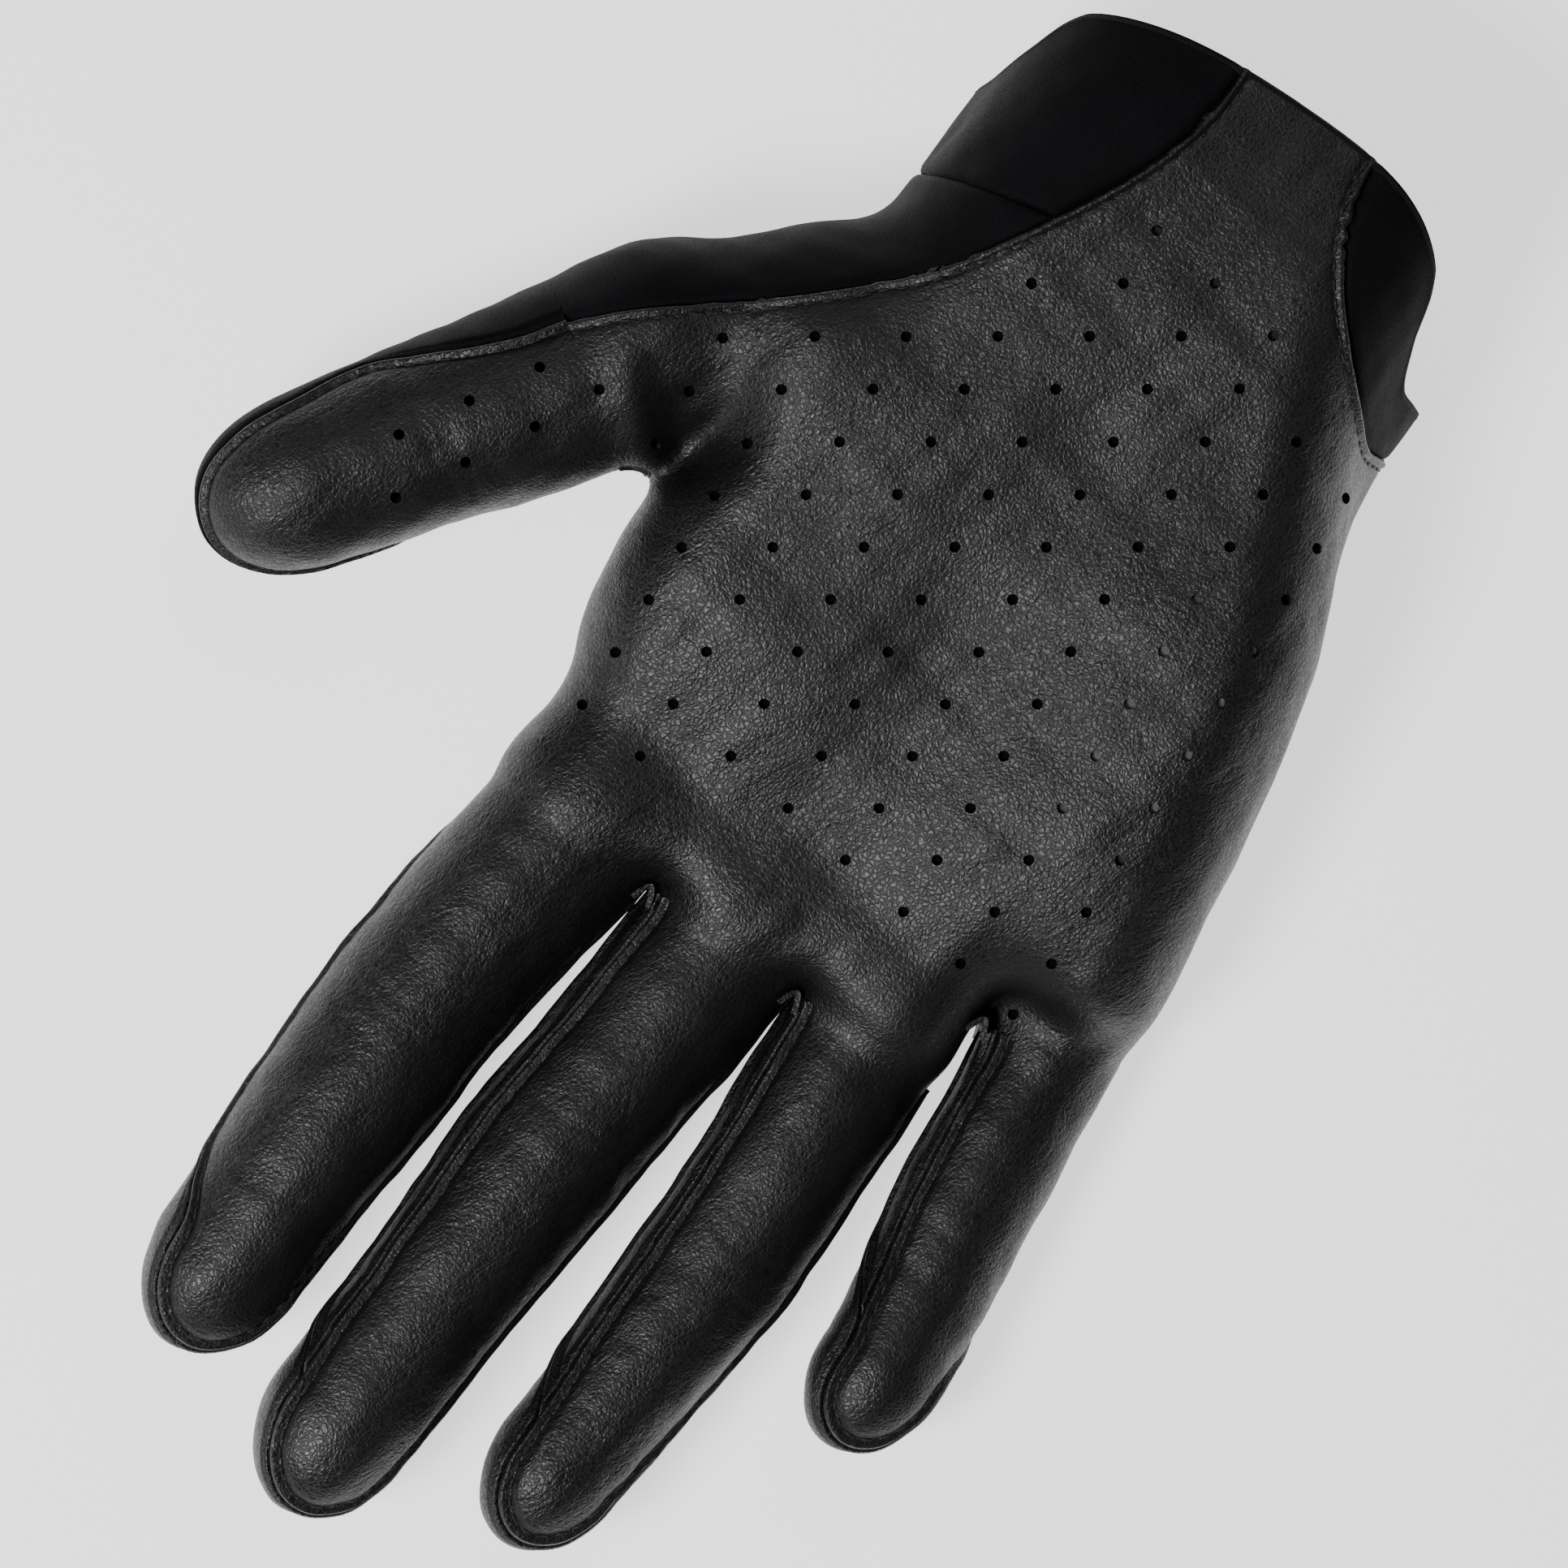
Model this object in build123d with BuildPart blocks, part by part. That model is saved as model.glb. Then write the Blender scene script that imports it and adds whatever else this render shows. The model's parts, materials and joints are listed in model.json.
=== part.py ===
from build123d import *

import os
from collections import namedtuple
from math import cos, radians, sin, sqrt

# A right-hand golf glove that lies on its back: palm up, fingers along +Y, thumb towards +X.
# It is sewn from leather fronts and backs, narrow forks along the sides of the fingers, stretch
# panels round the thumb and the cuff, and a closure tab on the back of the wrist.
# Each finger bends at two places and the thumb at two, and the tab peels open.
# The shapes are measured from the middle of the palm's back. The part's own origin is the centre
# of the glove's footprint, so every point goes through at().
# All sizes are in millimetres.
PALM_MIDDLE = (-23.31, -7.92, -0.32)

WALL = 0.9
HINGE_GAP = 0.5
FINGER_BACK = 1.3
FINGER_FLATNESS = 0.9
FINGER_CURL = 6.0
DOME_LENGTH = 0.72
DOME_SHARES = (0.0, 0.35, 0.62, 0.84, 0.97)
LEAST_RADIUS = 0.5
FORK_HALF_HEIGHT = 3.0
FORK_ROLL = 15.0
FORK_END = 11.0
EXTENSION_ROOM = 6.0
STUB_LENGTH = 16.0
FAR = 160.0

# Sections across the palm: y, little-finger side, thumb side, back, palm, corner radius.
PALM_SECTIONS = [
    (-101.0, -18.0, 43.5, 4.0, 43.0, 17.0),
    (-86.0, -18.4, 42.8, 4.0, 42.2, 17.0),
    (-71.0, -20.8, 42.4, 4.0, 40.2, 16.0),
    (-55.0, -27.6, 44.5, 3.4, 37.2, 15.0),
    (-38.0, -34.2, 47.6, 1.6, 34.4, 14.0),
    (-21.0, -38.2, 48.4, 0.4, 31.4, 13.0),
    (-5.0, -40.8, 46.6, 0.4, 28.2, 12.0),
    (8.8, -42.6, 43.4, 0.6, 23.5, 10.8),
]
# The ridge of the knuckles, which carries the three long fingers past the palm's end.
KNUCKLE_SECTIONS = [
    (0.0, -25.2, 42.9, 0.9, 24.2, 10.5),
    (21.0, -25.2, 42.9, 1.0, 22.9, 10.0),
]

# Each finger's centre line and widths: at the stub inside the palm, at the knuckle, at the
# middle joint and at the tip. Forks lists the sides that carry one: "outer" is towards the thumb,
# "inner" towards the little finger.
Finger = namedtuple(
    "Finger", "name stub knuckle middle tip stub_width knuckle_width middle_width tip_width forks"
)
BOTH = ("outer", "inner")
FINGERS = [
    Finger("index", 29.6, (31.0, 28.0), (34.0, 56.0), (34.2, 105.8), 25.6, 23.4, 22.4, 19.6, ("inner",)),
    Finger("middle", 7.2, (7.4, 28.0), (9.6, 56.0), (10.9, 114.3), 25.6, 21.9, 21.5, 18.8, BOTH),
    Finger("ring", -14.6, (-14.3, 28.0), (-16.0, 56.0), (-14.2, 101.5), 21.9, 20.4, 19.5, 17.0, BOTH),
    Finger("little", -33.6, (-34.5, 17.0), (-38.2, 43.0), (-39.8, 68.0), 18.0, 17.3, 17.4, 16.4, ("outer",)),
]
# Where the fingers part: x and y of each crotch.
CROTCHES = {"index_middle": (18.4, 24.4), "middle_ring": (-3.9, 24.4), "ring_little": (-25.3, 9.5)}
WEB_WIDTH = 9.0
WEB_START = 3.0
WEB_LOW = 5.0
WEB_HIGH = 17.5

# The thumb leaves the heel of the hand, then runs straight at its own heading.
THUMB_BASE = (64.2, -18.7)
THUMB_HEADING = 33.0
THUMB_HEIGHT = 20.0
THUMB_RISE = 3.0
THUMB_MIDDLE = 16.5
THUMB_LENGTH = 48.0
THUMB_DOME = 14.0
THUMB_RADII = (12.6, 11.5, 10.9)
THUMB_FLATNESS = 0.94
THUMB_ROLLS = (42.0, 20.0)
# The heel of the thumb: x, y, heading and radius of each section.
THUMB_HEEL = [
    (31.0, -56.0, 46.0, 14.0),
    (45.0, -42.0, 45.0, 14.4),
    (57.6, -28.6, 40.0, 13.6),
]

# The seam between the palm leather and the stretch panels, from the cuff's rim to the thumb.
THUMB_SEAM = [(19.8, -101.0), (21.6, -81.0), (27.0, -69.4), (36.0, -55.0), (60.4, -32.0), (76.0, -14.0)]
CUFF_SEAM = [(-0.5, -101.0), (-6.6, -82.7), (-12.2, -77.0), (-22.0, -69.5)]
CUFF_TOP_SEAM = [(18.0, -71.2), (52.0, -64.2)]
SIDE_SEAM_HEIGHT = 7.0
PALM_EDGE = 48.6

# The rim of the cuff: a bow on the palm side, straight across the back.
RIM = [(-18.9, -84.3), (-16.6, -89.6), (-11.4, -94.4), (9.2, -98.0)]
RIM += [(31.9, -95.0), (40.6, -90.6), (43.6, -84.3)]
RIM_BACK = -84.3
RIM_SPLIT_HEIGHT = 22.0
HEM_DEPTH = 5.0
TAPE = 0.6

# The slit in the back of the wrist and the tab that closes it.
SLIT_CENTRE = 10.0
SLIT_HALF_WIDTH = 4.0
SLIT_END = -50.0
BINDING_WIDTH = 2.6
TAB_HINGE = 30.0
TAB_BASE_END = 38.0
TAB_FREE_END = -13.0
TAB_SIDES = (-81.5, -61.5)
TAB_END_RADIUS = 7.0
LOOP_LAYER = (0.0, 0.8)
HOOK_LAYER = (1.1, 1.8)
TAB_LAYER = (1.8, 2.9)
LOOP_PATCH = (-12.0, 5.0)
HOOK_PATCH = (-11.0, 4.0)
PATCH_MARGIN = 1.5

ELASTIC = (-14.0, 37.0, -76.0, -69.0)
LABEL = (4.0, 22.0, -90.5, -79.5)

# The hinge of a bend lies this far over the palm side, so that the inside of the bend stays clear.
HINGE_LIFT = 0.3


def at(x, y, z):
    """A point given from the middle of the palm's back, in the part's own frame."""
    return Vector(x, y, z) + Vector(*PALM_MIDDLE)


def plan(height=0.0):
    """The plane seen from above, at a height over the palm's back."""
    return Plane(origin=at(0, 0, height))


def section_plane(x, y, z, heading=0.0):
    """A plane across a digit: local x towards the little finger, local y up, normal along it."""
    turn = radians(heading)
    return Plane(origin=at(x, y, z), x_dir=(-cos(turn), sin(turn), 0), z_dir=(sin(turn), cos(turn), 0))


def lofted_ellipses(stations, inset):
    """A closed solid through stations of (plane, half width, half height), moved inwards."""
    with BuildPart() as solid:
        for plane, half_width, half_height in stations:
            with BuildSketch(plane):
                Ellipse(max(half_width - inset, 1.1 * LEAST_RADIUS), max(half_height - inset, LEAST_RADIUS))
        loft(ruled=True)
    return solid.part


def lofted_sections(sections, inset):
    """A closed solid through rounded sections of the palm, moved inwards by the inset."""
    with BuildPart() as solid:
        for y, low_x, high_x, back, palm, corner in sections:
            end = sections[-1][0]
            with BuildSketch(section_plane((low_x + high_x) / 2, min(y, end - inset), (back + palm) / 2)):
                RectangleRounded(high_x - low_x - 2 * inset, palm - back - 2 * inset, corner - inset)
        loft()
    return solid.part


def finger_centre(finger, place, width):
    """A point of a finger's centre line: its back lies low, and the tip curls up a little."""
    x, y = place
    reach = max(0.0, y - finger.knuckle[1]) / (finger.tip[1] - finger.knuckle[1])
    return x, y, FINGER_BACK + width * FINGER_FLATNESS / 2 + FINGER_CURL * reach**2


def finger_hinge(finger, place, width):
    """The hinge point of a bend, just over the finger's palm side."""
    x, y, z = finger_centre(finger, place, width)
    return x, y, z + width * FINGER_FLATNESS / 2 + HINGE_LIFT


def finger_solid(finger, inset):
    """One finger from its stub to its rounded tip, moved inwards by the inset."""
    dome = DOME_LENGTH * finger.tip_width
    dome_start = finger.tip[1] - dome
    stub = (finger.stub, finger.knuckle[1] - STUB_LENGTH)
    thickness = finger.knuckle_width * FINGER_FLATNESS / 2
    stations = [(finger_centre(finger, stub, finger.knuckle_width), finger.stub_width / 2, thickness)]
    for place, width in ((finger.knuckle, finger.knuckle_width), (finger.middle, finger.middle_width)):
        stations.append((finger_centre(finger, place, width), width / 2, width / 2 * FINGER_FLATNESS))
    for share in DOME_SHARES:
        place = (finger.tip[0], dome_start + share * (dome - inset))
        half = finger.tip_width / 2 * sqrt(1 - share**2)
        stations.append((finger_centre(finger, place, finger.tip_width), half, half * FINGER_FLATNESS))
    return lofted_ellipses([(section_plane(*centre), half, flat) for centre, half, flat in stations], inset)


def thumb_point(along, up=0.0):
    """A point a distance along the thumb from its base, raised over its centre line."""
    turn = radians(THUMB_HEADING)
    x = THUMB_BASE[0] + along * sin(turn)
    y = THUMB_BASE[1] + along * cos(turn)
    rise = THUMB_RISE * max(0.0, along) / THUMB_LENGTH
    return x, y, THUMB_HEIGHT + rise + up


def thumb_solid(inset):
    """The thumb with its heel inside the palm, moved inwards by the inset."""
    base, middle, tip = THUMB_RADII
    stations = [
        (section_plane(x, y, THUMB_HEIGHT, heading), radius, radius * THUMB_FLATNESS)
        for x, y, heading, radius in THUMB_HEEL
    ]
    straight = [(0.0, base), (THUMB_MIDDLE, middle)]
    for share in DOME_SHARES:
        along = THUMB_LENGTH - THUMB_DOME + share * (THUMB_DOME - inset)
        straight.append((along, tip * sqrt(1 - share**2)))
    for along, radius in straight:
        plane = section_plane(*thumb_point(along), THUMB_HEADING)
        stations.append((plane, radius, radius * THUMB_FLATNESS))
    return lofted_ellipses(stations, inset)


def knuckle_cut(finger):
    """The end of the palm's side of a finger's knuckle bend, leaning back to let it bend back."""
    x, y, z = finger_hinge(finger, finger.knuckle, finger.knuckle_width)
    lean = radians(EXTENSION_ROOM)
    origin = at(x, y - HINGE_GAP / 2, z)
    return Plane(origin=origin, x_dir=(1, 0, 0), z_dir=(0, cos(lean), -sin(lean)))


def thumb_cut():
    """The end of the palm's side of the thumb's base bend, leaning back like the knuckles."""
    turn = radians(THUMB_HEADING)
    lean = radians(EXTENSION_ROOM)
    origin = at(*thumb_point(-HINGE_GAP / 2, THUMB_RADII[0] * THUMB_FLATNESS + HINGE_LIFT))
    normal = (sin(turn) * cos(lean), cos(turn) * cos(lean), -sin(lean))
    return Plane(origin=origin, x_dir=(cos(turn), -sin(turn), 0), z_dir=normal)


def hand_solid(inset):
    """The hand without its fingers, closed, moved inwards by the inset: palm, knuckles and stubs."""
    overrun = 2 * HINGE_GAP if inset > 0 else 0.0
    with BuildPart() as thumb_stub:
        add(thumb_solid(inset))
        split(bisect_by=thumb_cut().offset(overrun), keep=Keep.BOTTOM)
    stubs = [thumb_stub.part]
    for finger in FINGERS:
        with BuildPart() as stub:
            add(finger_solid(finger, inset))
            split(bisect_by=knuckle_cut(finger).offset(overrun), keep=Keep.BOTTOM)
        stubs.append(stub.part)
    with BuildPart() as hand:
        add(lofted_sections(PALM_SECTIONS, inset))
        add(lofted_sections(KNUCKLE_SECTIONS, inset))
        for stub in stubs:
            add(stub)
    return hand.part


def outline_prism(points, corners, low=-FAR / 2, high=FAR):
    """A tall prism between a smooth outline and the straight corners that close it."""
    with BuildPart() as prism:
        with BuildSketch(plan(low)):
            with BuildLine():
                Spline(*points)
                Polyline(points[-1], *corners, points[0])
            make_face()
        extrude(amount=high - low)
    return prism.part


def block(low_x, high_x, low_y, high_y, low_z=-FAR / 2, high_z=FAR):
    """A plain box by its sides."""
    with BuildPart() as box:
        with BuildSketch(plan(low_z)):
            with Locations(((low_x + high_x) / 2, (low_y + high_y) / 2)):
                Rectangle(high_x - low_x, high_y - low_y)
        extrude(amount=high_z - low_z)
    return box.part


def wedge(grow=0.0):
    """The slit in the back of the wrist, widened all round by a margin."""
    half = SLIT_HALF_WIDTH + grow
    tip = SLIT_END + 4 * grow
    with BuildPart() as slit:
        with BuildSketch(plan(-FAR / 4)):
            with BuildLine():
                Polyline(
                    (SLIT_CENTRE - half, -101 - grow),
                    (SLIT_CENTRE + half, -101 - grow),
                    (SLIT_CENTRE, tip),
                    close=True,
                )
            make_face()
        extrude(amount=FAR / 4 + RIM_SPLIT_HEIGHT)
    return slit.part


def beyond_rim(depth=0.0):
    """All that lies beyond the rim of the cuff, or beyond a line that far inside it."""
    palm_side = [(x, y + depth) for x, y in RIM]
    straight = RIM_BACK + depth
    with BuildPart() as beyond:
        add(outline_prism(palm_side, [(FAR, straight), (FAR, -FAR), (-FAR, -FAR), (-FAR, straight)]))
        add(block(-FAR, FAR, -FAR, straight, -FAR / 4, RIM_SPLIT_HEIGHT))
    return beyond.part


def carved(solid, keep=(), remove=()):
    """A piece of a solid: what lies inside every keeper and outside every remover."""
    with BuildPart() as piece:
        add(solid)
        for tool in keep:
            add(tool, mode=Mode.INTERSECT)
        for tool in remove:
            add(tool, mode=Mode.SUBTRACT)
    return piece.part


def layer(low, high):
    """A thin layer that follows the palm's sections, between two heights over the leather."""
    with BuildPart() as sheet:
        add(lofted_sections(PALM_SECTIONS, -high))
        add(lofted_sections(PALM_SECTIONS, -low), mode=Mode.SUBTRACT)
    return sheet.part


def hollow(solid_at):
    """A sleeve one wall thick, from a function that makes its solid at an inset."""
    with BuildPart() as sleeve:
        add(solid_at(0.0))
        add(solid_at(WALL), mode=Mode.SUBTRACT)
    return sleeve.part


def between(sleeve, start, end=None):
    """The stretch of a sleeve between two planes across it, or all of it past the first."""
    with BuildPart() as stretch:
        add(sleeve)
        split(bisect_by=start, keep=Keep.TOP)
        if end is not None:
            split(bisect_by=end, keep=Keep.BOTTOM)
    return stretch.part


def rolled_plane(start, end, roll):
    """The plane across a digit at a stretch's start, rolled so that its thumb side is raised."""
    along = (Vector(*end) - Vector(*start)).normalized()
    side = Vector(-along.Y, along.X, 0).normalized()
    turn = radians(roll)
    return Plane(origin=at(*start), x_dir=side * cos(turn) - Vector(0, 0, sin(turn)), z_dir=along)


def strip(sleeve, plane, regions):
    """The part of a sleeve in boxes of (x from, x to, y from, y to, along from, along to)."""
    with BuildPart() as piece:
        for low_x, high_x, low_y, high_y, start, end in regions:
            with BuildSketch(plane.offset(start)):
                with Locations(((low_x + high_x) / 2, (low_y + high_y) / 2)):
                    Rectangle(high_x - low_x, high_y - low_y)
            extrude(amount=end - start)
        add(sleeve, mode=Mode.INTERSECT)
    return piece.part


def finger_pieces(finger, stretch, sleeve, plane, fork_length):
    """Front, back and forks of one stretch of a finger. Past the forks the back wraps the tip."""
    wide = FAR / 4
    sides = {"outer": (-wide, 0.0), "inner": (0.0, wide)}
    low, high = -FORK_HALF_HEIGHT, FORK_HALF_HEIGHT
    front = [(-wide, wide, high, wide, -wide, FAR)]
    back = [(-wide, wide, -wide, low, -wide, FAR), (-wide, wide, low, high, fork_length, FAR)]
    for side, (low_x, high_x) in sides.items():
        band = (low_x, high_x, low, high, -wide, fork_length)
        if side in finger.forks:
            save(strip(sleeve, plane, [band]), f"{finger.name}_{stretch}_fork_{side}")
        else:
            front.append(band)
    save(strip(sleeve, plane, front), f"{finger.name}_{stretch}_front")
    save(strip(sleeve, plane, back), f"{finger.name}_{stretch}_back")


def save(solid, name):
    """Labels a finished piece and writes its STEP file."""
    solid.label = name
    export_step(solid, f"parts/{name}.step")


os.makedirs("parts", exist_ok=True)

# The hand: one hollow shell, cut along its seams.
shell = hollow(hand_solid)
past_rim = beyond_rim()
with BuildPart() as thumb_region:
    add(outline_prism(THUMB_SEAM, [(FAR, THUMB_SEAM[-1][1]), (FAR, -FAR), (THUMB_SEAM[0][0], -FAR)]))
    add(block(PALM_EDGE, FAR, -FAR, FAR, -FAR / 4, THUMB_HEIGHT))
thumb_side = thumb_region.part
little_side = outline_prism(CUFF_SEAM, [(-FAR, CUFF_SEAM[-1][1]), (-FAR, -FAR), (CUFF_SEAM[0][0], -FAR)])
below_cuff_seam = outline_prism(CUFF_TOP_SEAM, [(FAR, -FAR), (-FAR, -FAR)])
back_side = block(-FAR, FAR, -FAR, FAR, -FAR / 4, SIDE_SEAM_HEIGHT)
webs = {}
for name, (x, y) in CROTCHES.items():
    half = WEB_WIDTH / 2
    webs[name] = block(x - half, x + half, y - WEB_START, y + WEB_WIDTH, WEB_LOW, WEB_HIGH)

shell = carved(shell, remove=[past_rim])
other_panels = [thumb_side, little_side, *webs.values()]
save(carved(shell, remove=[back_side, *other_panels]), "palm_front")
save(carved(shell, keep=[back_side], remove=[wedge(), *other_panels]), "back_panel")
save(carved(shell, keep=[thumb_side], remove=[below_cuff_seam]), "thumb_side_panel")
save(carved(shell, keep=[thumb_side, below_cuff_seam]), "cuff_thumb_side")
save(carved(shell, keep=[little_side]), "cuff_little_side")
for name, region in webs.items():
    save(carved(shell, keep=[region]), f"web_{name}")

# The finishing inside the cuff: tape along the rim, the slit's binding, elastic and a blank label.
lining = carved(layer(-WALL - TAPE, -WALL), remove=[past_rim])
bound = wedge(BINDING_WIDTH)
palm_half = RIM_SPLIT_HEIGHT + 2
save(carved(lining, keep=[beyond_rim(HEM_DEPTH)], remove=[bound]), "hem_tape")
save(carved(lining, keep=[bound], remove=[wedge()]), "slit_binding")
save(carved(lining, keep=[block(*ELASTIC, palm_half)]), "wrist_elastic")
save(carved(lining, keep=[block(*LABEL, palm_half)]), "size_label")

# The closure on the back of the wrist: a loop patch, and a tab that carries the hook patch.
tab_low, tab_high = TAB_SIDES
patch_sides = (tab_low + PATCH_MARGIN, tab_high - PATCH_MARGIN)
back_half = (-FAR / 4, RIM_SPLIT_HEIGHT - 4)
with BuildPart() as tab_outline:
    with BuildSketch(plan(-FAR / 4)) as tab_sketch:
        with Locations(((TAB_FREE_END + TAB_HINGE) / 2, (tab_low + tab_high) / 2)):
            Rectangle(TAB_HINGE - TAB_FREE_END - HINGE_GAP, tab_high - tab_low)
        fillet(tab_sketch.vertices().group_by(Axis.X)[0], TAB_END_RADIUS)
    extrude(amount=back_half[1] - back_half[0])
save(carved(layer(*LOOP_LAYER), keep=[block(*LOOP_PATCH, *patch_sides, *back_half)]), "loop_patch")
save(carved(layer(*HOOK_LAYER), keep=[block(*HOOK_PATCH, *patch_sides, *back_half)]), "hook_patch")
save(carved(layer(*TAB_LAYER), keep=[tab_outline.part]), "closure_tab")
base_layer = layer(LOOP_LAYER[0], TAB_LAYER[1])
base_start = TAB_HINGE + HINGE_GAP / 2
save(carved(base_layer, keep=[block(base_start, TAB_BASE_END, *TAB_SIDES, *back_half)]), "tab_base")

# The fingers: each sleeve in two stretches, between the knuckle and the tip.
for finger in FINGERS:
    sleeve = hollow(lambda inset: finger_solid(finger, inset))
    knuckle = finger_centre(finger, finger.knuckle, finger.knuckle_width)
    middle = finger_centre(finger, finger.middle, finger.middle_width)
    tip = finger_centre(finger, finger.tip, finger.tip_width)
    knuckle_end = section_plane(*knuckle).offset(HINGE_GAP / 2)
    middle_cut = section_plane(*middle)
    proximal = between(sleeve, knuckle_end, middle_cut.offset(-HINGE_GAP / 2))
    distal = between(sleeve, middle_cut.offset(HINGE_GAP / 2))
    fork_length = tip[1] - FORK_END - middle[1]
    finger_pieces(finger, "proximal", proximal, rolled_plane(knuckle, middle, FORK_ROLL), FAR / 2)
    finger_pieces(finger, "distal", distal, rolled_plane(middle, tip, FORK_ROLL), fork_length)

# The thumb: leather towards the palm, stretch fabric over its outer side and back.
sleeve = hollow(thumb_solid)
thumb_middle = section_plane(*thumb_point(THUMB_MIDDLE), THUMB_HEADING)
thumb_start = section_plane(*thumb_point(HINGE_GAP / 2), THUMB_HEADING)
stretches = {
    "proximal": (between(sleeve, thumb_start, thumb_middle.offset(-HINGE_GAP / 2)), 0.0, THUMB_MIDDLE),
    "distal": (between(sleeve, thumb_middle.offset(HINGE_GAP / 2)), THUMB_MIDDLE, THUMB_LENGTH),
}
for (name, (stretch, start, end)), roll in zip(stretches.items(), THUMB_ROLLS):
    plane = rolled_plane(thumb_point(start), thumb_point(end), roll)
    wide = FAR / 4
    save(strip(stretch, plane, [(-wide, wide, 0.0, wide, -wide, wide)]), f"thumb_{name}_front")
    save(strip(stretch, plane, [(-wide, wide, -wide, 0.0, -wide, wide)]), f"thumb_{name}_back")
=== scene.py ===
import json
import math

import bpy
import numpy as np
from mathutils import Matrix, Vector
from mathutils.bvhtree import BVHTree


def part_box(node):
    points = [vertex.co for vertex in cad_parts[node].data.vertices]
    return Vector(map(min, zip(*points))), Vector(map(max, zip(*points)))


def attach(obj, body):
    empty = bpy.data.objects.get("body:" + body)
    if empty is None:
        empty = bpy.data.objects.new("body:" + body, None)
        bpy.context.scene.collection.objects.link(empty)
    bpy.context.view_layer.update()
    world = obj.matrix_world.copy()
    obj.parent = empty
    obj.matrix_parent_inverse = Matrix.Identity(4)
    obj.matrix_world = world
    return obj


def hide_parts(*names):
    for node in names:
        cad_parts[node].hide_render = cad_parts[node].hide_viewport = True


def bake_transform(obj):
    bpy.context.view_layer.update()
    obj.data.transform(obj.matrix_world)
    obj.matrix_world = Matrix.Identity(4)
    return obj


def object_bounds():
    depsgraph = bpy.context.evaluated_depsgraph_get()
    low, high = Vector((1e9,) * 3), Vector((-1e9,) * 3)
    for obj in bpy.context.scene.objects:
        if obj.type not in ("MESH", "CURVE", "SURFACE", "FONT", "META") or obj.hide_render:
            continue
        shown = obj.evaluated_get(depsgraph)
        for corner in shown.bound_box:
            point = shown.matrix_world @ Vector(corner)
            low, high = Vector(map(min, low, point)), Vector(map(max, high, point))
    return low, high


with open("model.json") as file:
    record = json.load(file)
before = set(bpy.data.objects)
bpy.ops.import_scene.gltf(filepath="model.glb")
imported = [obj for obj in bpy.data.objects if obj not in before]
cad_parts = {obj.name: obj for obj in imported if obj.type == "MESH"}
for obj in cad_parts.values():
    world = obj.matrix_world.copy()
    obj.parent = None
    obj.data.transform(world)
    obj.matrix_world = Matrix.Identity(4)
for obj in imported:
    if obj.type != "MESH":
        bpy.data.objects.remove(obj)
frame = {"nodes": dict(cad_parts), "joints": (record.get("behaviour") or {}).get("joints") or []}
cad_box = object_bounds()

# A golf glove for the right hand, palm up. Its skin is one smooth surface, measured from the CAD
# nodes: a net round the palm, and a sleeve round each finger and the thumb. The skin is then cut
# into panels where the CAD nodes meet, and each gets its seam edges, its thickness and its stitches.
# Lengths below are in millimetres along the frame's axes; MM turns them into metres at the end.
MM = 0.001
UP = np.array([0.0, 0.0, 1.0])
rng = np.random.default_rng(7)


# ---------------------------------------------------------------- measuring the CAD

def node_mesh(name):
    """Points and triangles of a CAD node."""
    mesh = frame["nodes"][name].data
    mesh.calc_loop_triangles()
    points = np.empty(len(mesh.vertices) * 3)
    mesh.vertices.foreach_get("co", points)
    faces = np.empty(len(mesh.loop_triangles) * 3, int)
    mesh.loop_triangles.foreach_get("vertices", faces)
    return points.reshape(-1, 3) / MM, faces.reshape(-1, 3)


def edges_of(faces):
    """Both ends of every triangle's three edges."""
    return np.concatenate([faces[:, [0, 1]], faces[:, [1, 2]], faces[:, [2, 0]]])


def node_edges(names):
    """Both ends of every triangle edge of several CAD nodes."""
    meshes = [node_mesh(name) for name in names]
    return np.concatenate([points[edges_of(faces)] for points, faces in meshes]).swapaxes(0, 1)


def crossing(edges, origin, along):
    """Where edges cross the plane through origin, square to along."""
    a, b = edges
    da, db = (a - origin) @ along, (b - origin) @ along
    hit = (da < 0) != (db < 0)
    share = da[hit] / (da[hit] - db[hit])
    return a[hit] + share[:, None] * (b[hit] - a[hit])


joints = {joint["name"]: joint for joint in frame["joints"]}


def smooth_min(a, b, k):
    h = np.clip(0.5 + 0.5 * (b - a) / k, 0, 1)
    return b * (1 - h) + a * h - k * h * (1 - h)


def smooth_max(a, b, k):
    return -smooth_min(-a, -b, k)


def ramp(x, low, high):
    t = np.clip((x - low) / (high - low), 0, 1)
    return t * t * (3 - 2 * t)


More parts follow.
